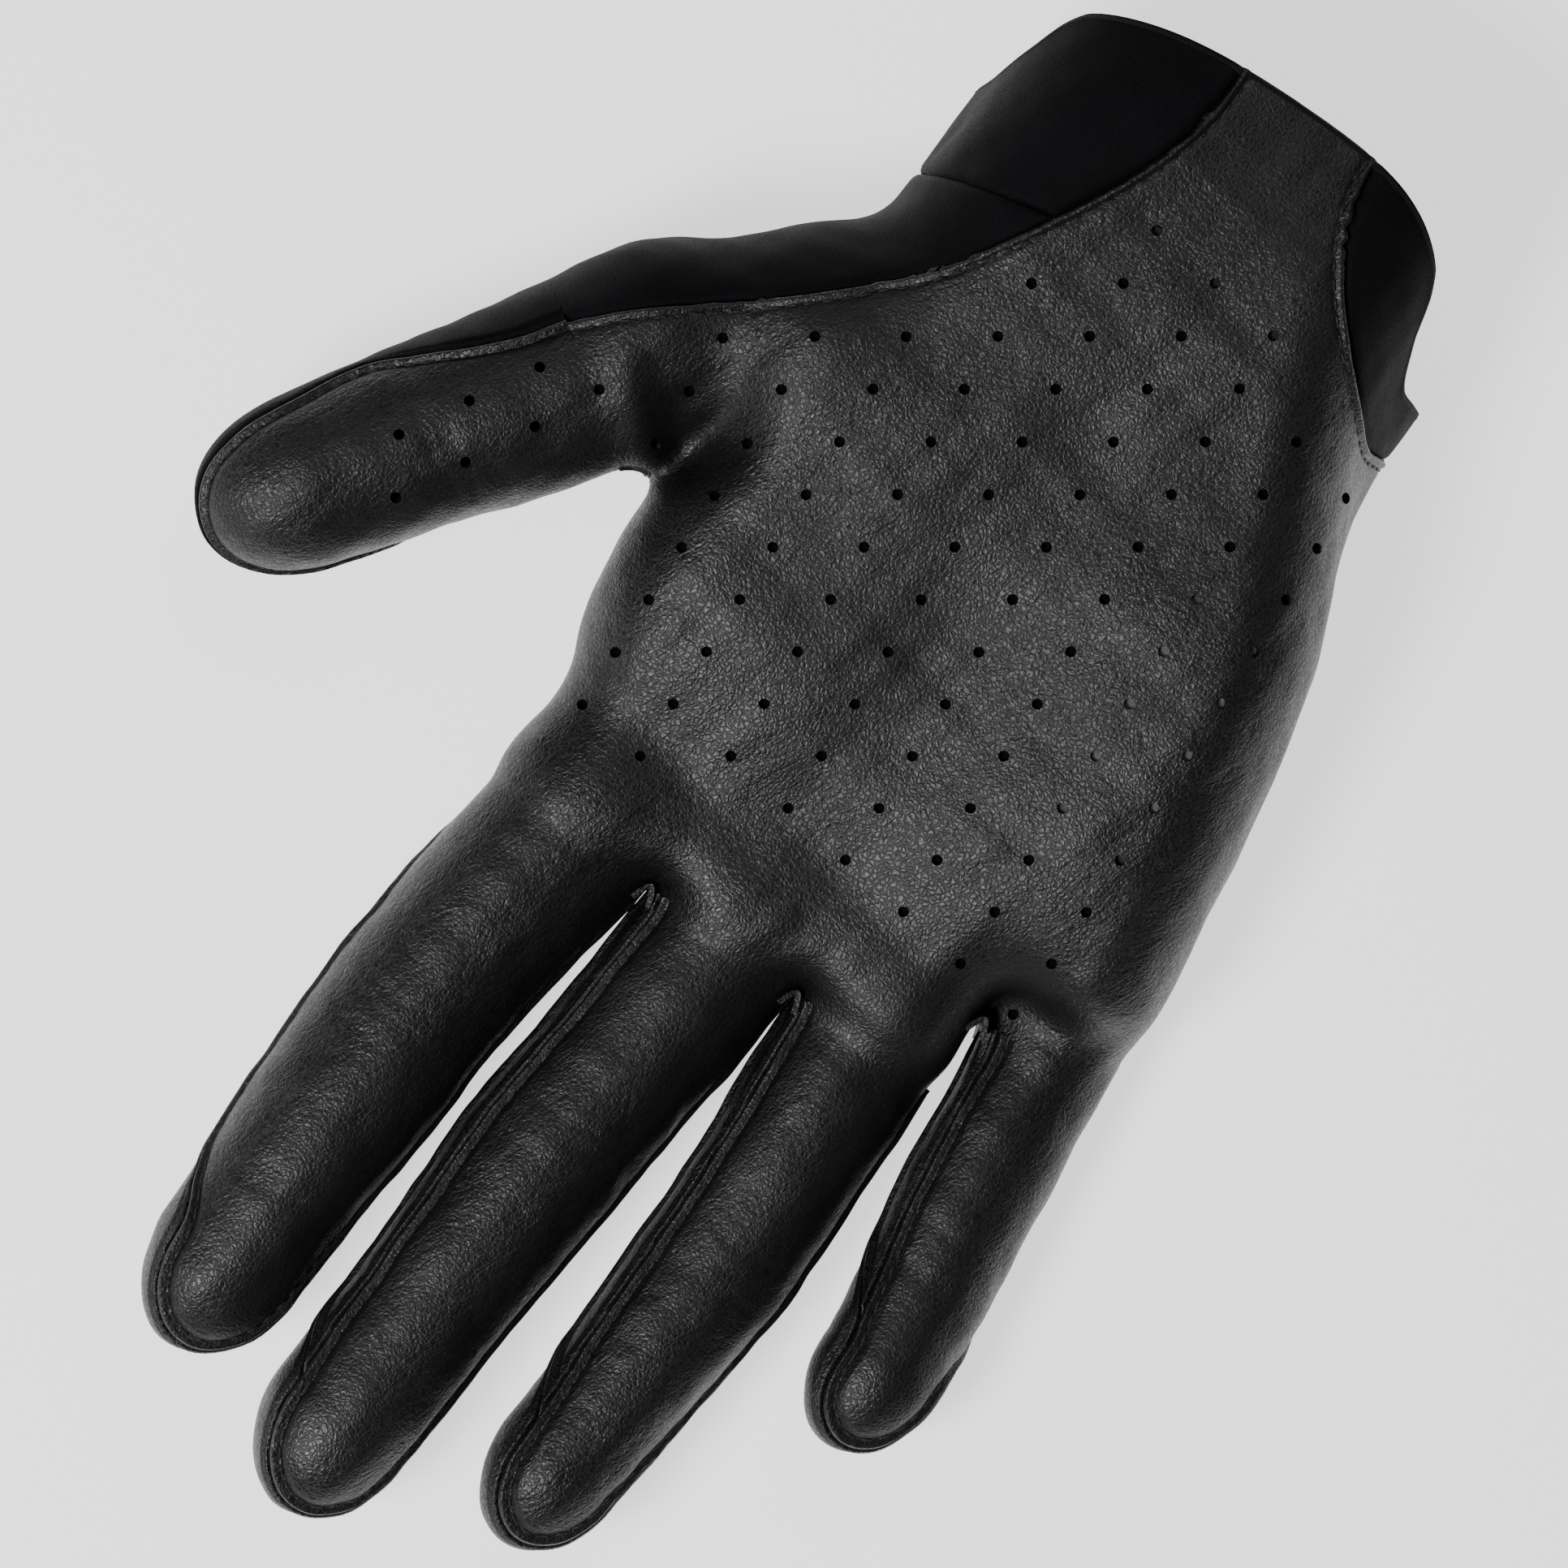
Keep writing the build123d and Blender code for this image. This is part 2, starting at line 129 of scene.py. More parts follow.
class Digit:
    """A finger or the thumb: half sizes and centre line along its length, measured from its nodes."""

    def __init__(self, name, bends, sides, start=-3.0):
        self.name = name
        self.bodies = ["hand", f"{name}_proximal", f"{name}_distal"]
        joint = joints[f"{name}_{bends[0]}_bend"]
        self.origin = np.array(joint["pos_m"]) / MM
        self.middle = np.array(joints[f"{name}_{bends[1]}_bend"]["pos_m"]) / MM
        self.side = np.array(joint["axis"], float)
        self.along = np.cross(UP, self.side)
        self.sides = sides
        self.start = start
        bend = (self.middle - self.origin) @ self.along
        self.split = bend / 2
        reach = min(12.0, bend / 2 - 0.5)
        self.zones = ((start, bend / 2 - 0.5), (bend - reach, bend + reach))
        edges = node_edges([n for n in frame["nodes"] if n.startswith(tuple(self.bodies[1:]))])
        reach = (edges - self.origin) @ self.along
        low, self.tip = reach.min() + 0.2, reach.max() + 0.25
        rough = crossing(edges, self.origin + self.along * (self.tip - 16), self.along)
        self.dome = 0.7 * np.ptp(rough @ self.side)
        self.dome_start = self.tip - self.dome
        stations, centre, half = [], [], []
        for s in np.linspace(low, self.dome_start, 24):
            points = crossing(edges, self.origin + self.along * s, self.along)
            if not len(points):
                continue
            u, z = (points - self.origin) @ self.side, points[:, 2]
            stations.append(s)
            centre.append(((u.min() + u.max()) / 2, (z.min() + z.max()) / 2))
            half.append((np.ptp(u) / 2, np.ptp(z) / 2))
        centre, half = np.array(centre), np.array(half)
        slope = (centre[8] - centre[0]) / (stations[8] - stations[0])
        self.stations = np.array([low - 30] + stations)
        self.centre = np.vstack([centre[0] - 30 * slope * np.array([1, 0]), centre])
        self.half = np.vstack([half[0] * (1.06, 1.0), half])

    def local(self, points):
        rel = points - self.origin
        return rel @ self.side, rel @ self.along, points[..., 2]

    def shape(self, s):
        """Centre and half sizes at a distance along the digit."""
        s = np.clip(s, self.stations[0], self.dome_start)
        columns = [self.centre[:, 0], self.centre[:, 1], self.half[:, 0], self.half[:, 1]]
        return [np.interp(s, self.stations, column) for column in columns]

    def field(self, points, capped):
        """Below zero inside the digit, which ends at the distance capped unless that is None."""
        u, s, z = self.local(points)
        cu, cz, hu, hz = self.shape(s)
        over = np.maximum(s - self.dome_start, 0) / self.dome
        under = np.maximum(-6 - s, 0) / 14
        r = np.sqrt(((u - cu) / hu) ** 2 + ((z - cz) / hz) ** 2 + over**2 + under**2)
        depth = (r - 1) * np.minimum(hu, hz)
        return depth if capped is None else np.maximum(depth, s - capped)


FINGER_SIDES = {
    "index": ("inner",), "middle": ("outer", "inner"), "ring": ("outer", "inner"), "little": ("outer",),
}
fingers = [Digit(name, ("knuckle", "middle"), sides) for name, sides in FINGER_SIDES.items()]
thumb = Digit("thumb", ("base", "middle"), ())
index, middle_finger, ring, little = fingers

# The palm's own sections: sides, back and palm, from slices across the hand's panels.
PALM_NODES = ["palm_front", "back_panel", "thumb_side_panel", "cuff_thumb_side", "cuff_little_side"]
hand_edges = node_edges(PALM_NODES)
seam_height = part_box("back_panel")[1][2] / MM
rim_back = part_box("back_panel")[0][1] / MM
rim_low = min(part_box(name)[0][1] for name in PALM_NODES) / MM
CORNERS = (17.0, 11.0)  # radius of the palm's long edges, at the rim and at its finger end
palm_end = little.origin[1] - 9
knuckle_end = middle_finger.origin[1] - 5


def corner_at(y):
    return np.interp(y, (rim_back, palm_end), CORNERS)


palm_rows = []
for y in np.linspace(rim_back + 1.0, palm_end - 1.0, 18):
    points = crossing(hand_edges, np.array([0, y, 0.0]), np.array([0, 1.0, 0]))
    back = points[points[:, 2] < seam_height]
    low = points[:, 2].min()
    corner = corner_at(y)
    rise = np.clip(corner - (back[:, 2].max() - low), 0, corner)
    inset = corner - math.sqrt(corner**2 - rise**2)
    middle = points[np.abs(points[:, 0] + 18) < 16]
    palm_rows.append((y, points[:, 0].min(), back[:, 0].max() + inset, low, middle[:, 2].max()))
palm_rows = np.array(palm_rows)
palm_rows[:, 1:] = (palm_rows[:, 1:] + palm_rows[np.r_[0, :17], 1:] + palm_rows[np.r_[1:18, 17], 1:]) / 3


def rounded_box(points, low_x, high_x, low_z, high_z, corner):
    qx = np.abs(points[..., 0] - (low_x + high_x) / 2) - (high_x - low_x) / 2 + corner
    qz = np.abs(points[..., 2] - (low_z + high_z) / 2) - (high_z - low_z) / 2 + corner
    outside = np.hypot(np.maximum(qx, 0), np.maximum(qz, 0))
    return outside + np.minimum(np.maximum(qx, qz), 0) - corner


knuckle_low = ring.origin[0] + ring.shape(-4)[0] - ring.shape(-4)[2]
knuckle_high = index.origin[0] + index.shape(-4)[0] + index.shape(-4)[2]
# The heel of the thumb: distance back from the thumb's base, heading in degrees, radius.
HEEL = [(0.0, 0.0, 12.4), (13.0, 38.0, 13.4), (34.0, 45.0, 14.2), (52.0, 46.0, 13.0)]
heel = []
for back, heading, radius in HEEL:
    turn = math.radians(heading)
    point = thumb.origin - back * np.array([math.sin(turn), math.cos(turn), 0])
    point[2] = thumb.shape(0)[1]
    heel.append((point, radius))


def heel_field(points):
    best = None
    for (a, ra), (b, rb) in zip(heel, heel[1:]):
        line = b - a
        share = np.clip((points - a) @ line / (line @ line), 0, 1)
        gap = points - a - share[..., None] * line
        d = np.sqrt(gap[..., 0] ** 2 + gap[..., 1] ** 2 + (gap[..., 2] / 0.94) ** 2) - ra - share * (rb - ra)
        best = d if best is None else smooth_min(best, d, 4)
    return best


def bowl(points, x, y, size_x, size_y):
    return np.exp(-(((points[..., 0] - x) / size_x) ** 2) - ((points[..., 1] - y) / size_y) ** 2)


def softness(points, most):
    """How softly two shapes melt together: less towards the back, which lies flat."""
    return 0.8 + (most - 0.8) * ramp(points[..., 2], 4, 16)


# Hollows of the palm, below zero a swelling: depth, centre in x and y, size in x and y.
PALM_HOLLOWS = [(2.0, -17, -22, 13, 24), (-1.3, -45, -30, 11, 26), (0.8, -18, 12, 30, 5)]


def palm_field(points):
    y = points[..., 1]
    rows = [np.interp(y, palm_rows[:, 0], palm_rows[:, i]) for i in range(1, 5)]
    body = rounded_box(points, *rows, corner_at(y))
    body = smooth_max(body, y - palm_end, 9)
    knuckle_top = np.minimum(rows[3], rows[2] + 22.4)
    knuckles = rounded_box(points, knuckle_low, knuckle_high, rows[2], knuckle_top, 10.5)
    knuckles = smooth_max(knuckles, y - knuckle_end, 5)
    palm = smooth_min(body, knuckles, softness(points, 6))
    top = ramp(points[..., 2], 12, 20)
    for depth, *place in PALM_HOLLOWS:
        palm = palm + top * depth * bowl(points, *place)
    return palm


def parting(one, other, y):
    """x of the line between two neighbouring fingers."""
    right = one.origin[0] + one.shape(y - one.origin[1])[0] - one.shape(y - one.origin[1])[2]
    left = other.origin[0] + other.shape(y - other.origin[1])[0] + other.shape(y - other.origin[1])[2]
    return (right + left) / 2


crotches = [(fingers[i], fingers[i + 1]) for i in range(3)]
CROTCH_FROM_KNUCKLE = {"index": -3.6, "middle": -3.6, "ring": -18.5}


def finger_field(digit, points, palm=None, capped=None):
    """One finger grown out of the palm, kept to its own side of the lines between the fingers."""
    palm = palm_field(points) if palm is None else palm
    own = digit.field(points, capped)
    total = smooth_min(palm, own, softness(points, 5))
    x, y = points[..., 0], points[..., 1]
    for one, other in crotches:
        if digit not in (one, other):
            continue
        crotch = one.origin[1] + CROTCH_FROM_KNUCKLE[one.name]
        side = 1 if digit is other else -1
        wall = side * (x - parting(one, other, y)) + 0.12 - 3 * np.maximum(0, crotch - y)
        total = smooth_max(total, wall, 1.2)
    return total


# The hollow beside the thumb's root, which fades out before the thumb's sleeve begins.
thumb_hollow = thumb.origin[:2] + (-14.5, -6.5)
THUMB_HOLLOW_DEPTH = 3.4


def thumb_field(points, palm=None, capped=None):
    """The thumb and its heel grown out of the palm."""
    palm = palm_field(points) if palm is None else palm
    own = thumb.field(points, capped)
    along = thumb.local(points)[1]
    root = heel_field(points) + 4 * ramp(along, -9, 4)
    if capped is not None:
        root = np.maximum(root, along - capped)
    joined = smooth_min(palm, smooth_min(own, root, 2), softness(points, 4))
    before = -((points - thumb.origin) @ thumb.along)
    depth = THUMB_HOLLOW_DEPTH * ramp(points[..., 2], 14, 24) * ramp(before, 2 - thumb.start, 9 - thumb.start)
    return joined + depth * bowl(points, *thumb_hollow, 8, 10)


def hand_field(points):
    shape = points.shape[:-1]
    points = points.reshape(-1, 3)
    palm = palm_field(points)
    total = palm.copy()
    near = points[:, 0] > heel[-1][0][0] - 24
    total[near] = thumb_field(points[near], palm[near], thumb.start + 0.6)
    for digit in fingers:
        near = np.nonzero(points[:, 1] > digit.origin[1] - 26)[0]
        own = finger_field(digit, points[near], palm[near], digit.start + 0.6)
        total[near] = np.minimum(total[near], own)
    return total.reshape(shape)


# ---------------------------------------------------------------- meshes as arrays

# A table has one row for each point of a surface: the point and its normal, then both before
# displacement or seams, then a column for each seam with the distance from it.
POINT, NORMAL, BASE, BASE_NORMAL = slice(0, 3), slice(3, 6), slice(6, 9), slice(9, 12)
NORMAL_Z, BASE_Z, BASE_NORMAL_Z = 5, 8, 11
FIELDS = 12


def gradient(field, points, step=0.15):
    result = np.empty_like(points)
    for axis in range(3):
        shift = np.zeros(3)
        shift[axis] = step
        result[:, axis] = (field(points + shift) - field(points - shift)) / (2 * step)
    return result


def unit(vectors):
    return vectors / np.maximum(np.linalg.norm(vectors, axis=-1, keepdims=True), 1e-9)


def surface_net(field, low, high, step):
    """Triangles round the zero level of a field, one point for each crossed cell."""
    axes = [a + step * np.arange(4 * int((b - a) / (4 * step)) + 5) for a, b in zip(low, high)]
    value = field(np.stack(np.meshgrid(*axes, indexing="ij"), -1))
    cells = np.array(value.shape) - 1
    size = int(np.prod(cells))
    total, quads = np.zeros((size, 4)), []
    for axis in range(3):
        first, second = [slice(None)] * 3, [slice(None)] * 3
        first[axis], second[axis] = slice(0, -1), slice(1, None)
        a, b = value[tuple(first)], value[tuple(second)]
        hit = (a < 0) != (b < 0)
        place = np.argwhere(hit)
        v0, v1 = a[hit], b[hit]
        share = (v0 / (v0 - v1))[:, None]
        spot = np.array([line[0] for line in axes]) + step * (place + share * np.eye(3)[axis])
        spot = np.hstack([spot, np.ones_like(share)])
        others = [d for d in range(3) if d != axis]
        corners, whole = [], np.ones(len(place), bool)
        for one, two in ((0, 0), (1, 0), (1, 1), (0, 1)):
            cell = place.copy()
            cell[:, others[0]] -= one
            cell[:, others[1]] -= two
            fits = ((cell >= 0) & (cell < cells)).all(1)
            number = np.ravel_multi_index(np.clip(cell, 0, cells - 1).T, cells)
            for d in range(4):
                total[:, d] += np.bincount(number[fits], spot[fits, d], size)
            corners.append(number)
            whole &= fits
        ring_of_four = np.stack(corners, 1)[whole]
        flip = ((v0 < 0) == (axis != 1))[whole]
        quads.append(np.where(flip[:, None], ring_of_four, ring_of_four[:, ::-1]))
    quads = np.concatenate(quads)
    used, flat = np.unique(quads, return_inverse=True)
    points = total[used, :3] / np.maximum(total[used, 3:], 1)
    quads = flat.reshape(-1, 4)
    return points, np.concatenate([quads[:, [0, 1, 2]], quads[:, [0, 2, 3]]])


def settle(points, field, rounds=4, plane=None):
    """Moves points onto the zero level of a field, if asked only within the planes square to an axis."""
    for _ in range(rounds):
        slope = gradient(field, points)
        if plane is not None:
            slope = slope - (slope @ plane)[:, None] * plane
        size = np.maximum((slope**2).sum(1, keepdims=True), 0.05)
        points = points - np.clip(field(points)[:, None] * slope / size, -2, 2)
    return points


def compact(table, faces):
    used, flat = np.unique(faces, return_inverse=True)
    return table[used], flat.reshape(-1, 3)


def sliced(table, faces, value):
    """The same surface with its triangles cut where a value is zero: table, faces below, faces above."""
    value = np.where(np.abs(value) < 1e-4, -1e-4, value)
    below = value < 0
    count = below[faces].sum(1)
    inside, outside = [faces[count == 3]], [faces[count == 0]]
    mixed = faces[(count == 1) | (count == 2)]
    odd_below = below[mixed].sum(1) == 1
    odd = np.argmax(below[mixed] == odd_below[:, None], axis=1)
    rows = np.arange(len(mixed))
    a, b, c = (mixed[rows, (odd + i) % 3] for i in range(3))
    ends = np.sort(np.concatenate([np.stack([a, b], 1), np.stack([a, c], 1)]), axis=1)
    keys, where = np.unique(ends, axis=0, return_inverse=True)
    where = where.reshape(-1)
    v0, v1 = value[keys[:, 0]], value[keys[:, 1]]
    share = (v0 / (v0 - v1))[:, None]
    fresh = table[keys[:, 0]] * (1 - share) + table[keys[:, 1]] * share
    ab, ac = where[: len(mixed)] + len(table), where[len(mixed) :] + len(table)
    tip = np.stack([a, ab, ac], 1)
    rest = np.concatenate([np.stack([ab, b, c], 1), np.stack([ab, c, ac], 1)])
    twice = np.concatenate([odd_below, odd_below])
    inside += [tip[odd_below], rest[~twice]]
    outside += [tip[~odd_below], rest[twice]]
    return np.vstack([table, fresh]), np.concatenate(inside), np.concatenate(outside)


def clip(table, faces, value):
    table, inside, _ = sliced(table, faces, value)
    return compact(table, inside)


def score(table, faces, value):
    table, inside, outside = sliced(table, faces, value)
    return compact(table, np.concatenate([inside, outside]))


# How a triangle is cut when one, two or all of its edges are split: 0 to 2 are its corners, 3 to 5
# the middles of the edges after them.
SPLITS = {
    1: [(0, 3, 2), (3, 1, 2)],
    2: [(3, 1, 4), (0, 3, 4), (0, 4, 2)],
    3: [(0, 3, 5), (3, 1, 4), (5, 4, 2), (3, 4, 5)],
}


def refined(table, faces, near):
    """Splits the edges whose middles near() picks, and the triangles they belong to."""
    keys, where = np.unique(np.sort(edges_of(faces), axis=1), axis=0, return_inverse=True)
    where = where.reshape(3, -1).T
    middle = (table[keys[:, 0]] + table[keys[:, 1]]) / 2
    picked = near(middle)
    number = np.cumsum(picked) - 1 + len(table)
    table = np.vstack([table, middle[picked]])
    marks, names = picked[where], number[where]
    count = marks.sum(1)
    result = [faces[count == 0]]
    for wanted, splits in SPLITS.items():
        rows = count == wanted
        turn = (np.argmin(marks[rows], axis=1) + 1) if wanted == 2 else np.argmax(marks[rows], axis=1)
        spin = (turn[:, None] + np.arange(3)) % 3
        six = np.hstack([np.take_along_axis(part[rows], spin, 1) for part in (faces, names)])
        result += [six[:, split] for split in splits]
    return table, np.concatenate(result)


def mesh_normals(points, faces):
    """Normals of a surface's points, weighted by the angle of each corner."""
    result = np.zeros_like(points)
    corners = points[faces]
    flat = unit(np.cross(corners[:, 1] - corners[:, 0], corners[:, 2] - corners[:, 0]))
    for i in range(3):
        one = unit(corners[:, (i + 1) % 3] - corners[:, i])
        two = unit(corners[:, (i + 2) % 3] - corners[:, i])
        angle = np.arccos(np.clip((one * two).sum(1), -1, 1))
        for axis in range(3):
            result[:, axis] += np.bincount(faces[:, i], flat[:, axis] * angle, len(points))
    return unit(result)


WAVES = 14


class Waves:
    """Smooth noise: a fixed sum of waves of about one length."""

    def __init__(self, length):
        turns = unit(rng.normal(size=(WAVES, 3)))
        self.turns = turns * 2 * math.pi / (length * rng.uniform(0.75, 1.4, WAVES)[:, None])
        self.phase = rng.uniform(0, 2 * math.pi, WAVES)

    def __call__(self, points):
        return np.cos(points @ self.turns.T + self.phase).sum(-1) / math.sqrt(WAVES / 2)


broad, mid, fine = Waves(30), Waves(12), Waves(5.5)


def relief(points):
    """How far the worn skin stands off its measured shape."""
    lift = 0.16 * broad(points) + 0.07 * mid(points) + 0.035 * fine(points)
    for digit in [*fingers, thumb]:
        u, s, z = digit.local(points)
        cu, cz, hu, hz = digit.shape(s)
        near = np.exp(-(np.maximum(np.hypot((u - cu) / hu, (z - cz) / hz) - 1.15, 0) * 8) ** 2)
        top = ramp(z - cz, -0.2 * hz, 0.8 * hz)
        middle = (digit.middle - digit.origin) @ digit.along
        # Each joint's folds: their place along the digit, width and strength.
        folds = [(middle, 5.0, 1.0)]
        if digit is not thumb:
            folds += [(0.0, 4.5, 0.7), (middle + 0.52 * (digit.tip - middle), 4.0, 0.8)]
        for place, width, size in folds:
            across = s - place + 0.07 * (u - cu) ** 2 * 0.2 + 0.5 * mid(points)
            fold = np.exp(-((across / width) ** 2))
            lift = lift + near * size * fold * (0.03 * np.cos(across * 2.1) * (0.4 + 0.6 * top) - 0.1 * top)
    return lift


FLOOR_GAP, FLOOR_LAYER = 0.6, 0.45


def off_floor(points):
    """Presses what would reach the floor into a thin layer just over it."""
    points = points.copy()
    low = np.minimum(points[:, 2], FLOOR_GAP)
    pressed = FLOOR_GAP - FLOOR_LAYER * (1 - np.exp((low - FLOOR_GAP) / FLOOR_LAYER))
    points[:, 2] = np.where(points[:, 2] < FLOOR_GAP, pressed, points[:, 2])
    return points


def rested(points, field):
    """A table of skin points: displaced points and normals, and the same before displacement."""
    normal = unit(gradient(field, points))
    lift = relief(points)
    tilt = gradient(relief, points, 0.2)
    tilt = tilt - (tilt * normal).sum(1, keepdims=True) * normal
    moved = points + lift[:, None] * normal
    return np.hstack([moved, unit(normal - tilt), moved, unit(normal - tilt)])


def seam_gaps(points, names):
    """A column for each pair of CAD nodes: the distance from the seam between them."""
    rows = points.tolist()
    squares = []
    for name in names:
        nearest = BVHTree.FromPolygons(*[part.tolist() for part in node_mesh(name)]).find_nearest
        squares.append(np.array([nearest(row)[3] ** 2 for row in rows]))
    columns = []
    for i, one in enumerate(squares):
        for other in squares[i + 1 :]:
            columns.append(np.sign(one - other) * np.sqrt(np.abs(one - other)))
    return np.stack(columns, 1)


def gap_between(table, own, other, groups):
    """How far points lie from the seam between two groups: below zero on the first one's side."""
    low, high = sorted((own, other))
    column = sum(groups - 1 - i for i in range(low)) + high - low - 1
    value = table[:, FIELDS + column]
    return value if own < other else -value


def margin(table, own, groups):
    """How far inside its own panel a point lies."""
    return np.min([-gap_between(table, own, i, groups) for i in range(groups) if i != own], axis=0)


# Heights of a panel against the distance from its seam: a sewn edge that stands up with a row of
# stitches beside it, and a flat turned edge.
RAISED = np.array([(0.0, -0.4), (0.25, 0.4), (0.6, 0.5), (1.15, -0.28), (1.9, 0.0)])
TURNED = np.array([(0.0, -0.75), (0.35, -0.28), (0.9, -0.06), (1.5, 0.0)])


def sewn_panel(table, faces, own, groups, profile):
    """The part of a skin that belongs to one group, with its edges shaped for their seams."""
    for other in range(groups):
        if other != own:
            table, faces = clip(table, faces, gap_between(table, own, other, groups))
    table, faces = refined(table, faces, lambda rows: margin(rows, own, groups) < profile[-1, 0])
    for distance, _ in profile[1:]:
        table, faces = score(table, faces, distance - margin(table, own, groups))
    inside = margin(table, own, groups)
    table[:, POINT] += np.interp(inside, *profile.T)[:, None] * table[:, BASE_NORMAL]
    share = ramp(inside, profile[-1, 0] + 1.2, profile[-1, 0] + 0.3)[:, None]
    normals = mesh_normals(table[:, POINT], faces)
    table[:, NORMAL] = unit(normals * share + table[:, NORMAL] * (1 - share))
    return table, faces


# ---------------------------------------------------------------- Blender objects

def make_object(name, points, faces, loop_normals=None):
    mesh = bpy.data.meshes.new(name)
    mesh.vertices.add(len(points))
    mesh.vertices.foreach_set("co", (points * MM).astype(np.float32).ravel())
    mesh.loops.add(faces.size)
    mesh.loops.foreach_set("vertex_index", faces.astype(np.int32).ravel())
    mesh.polygons.add(len(faces))
    mesh.polygons.foreach_set("loop_start", np.arange(0, faces.size, 3, dtype=np.int32))
    mesh.update(calc_edges=True)
    mesh.polygons.foreach_set("use_smooth", np.ones(len(faces), bool))
    rest = mesh.attributes.new("rest", "FLOAT_VECTOR", "POINT")
    rest.data.foreach_set("vector", points.astype(np.float32).ravel())
    if loop_normals is not None:
        mesh.normals_split_custom_set(loop_normals.astype(np.float32))
    mesh.update()
    obj = bpy.data.objects.new(name, mesh)
    bpy.context.scene.collection.objects.link(obj)
    return obj


def dressed(piece, material, slot, bodies="hand", ends=None, replaced=()):
    """Gives a piece its material and hides the nodes it replaces; without ends it is attached to its body, with
    ends its transform is only baked. The slot is not used.
    """
    piece.data.materials.append(material)
    if ends:
        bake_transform(piece)
    else:
        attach(piece, bodies)
    if replaced:
        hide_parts(*replaced)


def open_edges(faces):
    """Edges that only one triangle uses, in that triangle's direction."""
    edges = edges_of(faces)
    _, where, count = np.unique(np.sort(edges, axis=1), axis=0, return_inverse=True, return_counts=True)
    return edges[count[where.reshape(-1)] == 1]


def thick(name, table, faces, wall=0.9, lift=0.0):
    """A closed piece: the skin's surface, the same moved inwards by the wall, and the edges between."""
    count = len(table)
    outer = table[:, POINT] + lift * table[:, BASE_NORMAL]
    inner = table[:, BASE] + (lift - wall) * table[:, BASE_NORMAL]
    points = off_floor(np.vstack([outer, inner]))
    a, b = open_edges(faces).T
    sides = np.concatenate([np.stack([b, a, a + count], 1), np.stack([b, a + count, b + count], 1)])
    every = np.concatenate([faces, faces[:, ::-1] + count, sides])
    corner = points[sides]
    flat = unit(np.cross(corner[:, 1] - corner[:, 0], corner[:, 2] - corner[:, 0]))
    normals = np.concatenate([
        table[:, NORMAL][faces].reshape(-1, 3),
        -table[:, BASE_NORMAL][faces[:, ::-1]].reshape(-1, 3),
        np.repeat(flat, 3, axis=0),
    ])
    return make_object(name, points, every, normals)


def level_lines(table, faces, value):
    """Chains of points where a value is zero on a surface, each a table of interpolated rows."""
    value = np.where(np.abs(value) < 1e-6, 1e-6, value)
    below = value < 0
    mixed = faces[(below[faces].sum(1) % 3) != 0]
    links = {}
    for tri in mixed.tolist():
        pair = []
        for a, b in zip(tri, tri[1:] + tri[:1]):
            if below[a] != below[b]:
                pair.append((a, b) if a < b else (b, a))
        links.setdefault(pair[0], []).append(pair[1])
        links.setdefault(pair[1], []).append(pair[0])
    chains, seen = [], set()
    ends = [key for key, near in links.items() if len(near) == 1]
    for key in ends + list(links):
        if key in seen:
            continue
        chain = [key]
        seen.add(key)
        while True:
            step = [n for n in links[chain[-1]] if n not in seen]
            if not step:
                break
            chain.append(step[0])
            seen.add(step[0])
        if len(chain) > 3:
            pairs = np.array(chain)
            share = (value[pairs[:, 0]] / (value[pairs[:, 0]] - value[pairs[:, 1]]))[:, None]
            chains.append(table[pairs[:, 0]] * (1 - share) + table[pairs[:, 1]] * share)
    return chains


def ring_faces(count, sides):
    """Triangles between rings of points, with flat ends."""
    i, k = np.indices((count - 1, sides))
    n = (k + 1) % sides
    a, b, c, d = i * sides + k, (i + 1) * sides + k, (i + 1) * sides + n, i * sides + n
    k, last = np.arange(1, sides - 1), (count - 1) * sides
    return np.concatenate([
        np.stack([a, b, c], -1).reshape(-1, 3), np.stack([a, c, d], -1).reshape(-1, 3),
        np.stack([0 * k, k, k + 1], 1), np.stack([last + 0 * k, last + k + 1, last + k], 1),
    ])


def around(sides):
    return 2 * math.pi * np.arange(sides)[:, None] / sides


STITCH_PITCH, STITCH_LENGTH, STITCH_RADIUS, STITCH_SIDES, SHORTEST_SEAM = 2.3, 1.5, 0.2, 7, 8.0
# The rings of one stitch: place along its half length, girth and height as shares of its radius.
STITCH_RINGS = [(-1.0, 0.45, -0.28), (-0.75, 0.9, 0.0), (0.0, 1.0, 0.1), (0.75, 0.9, 0.0), (1.0, 0.45, -0.28)]


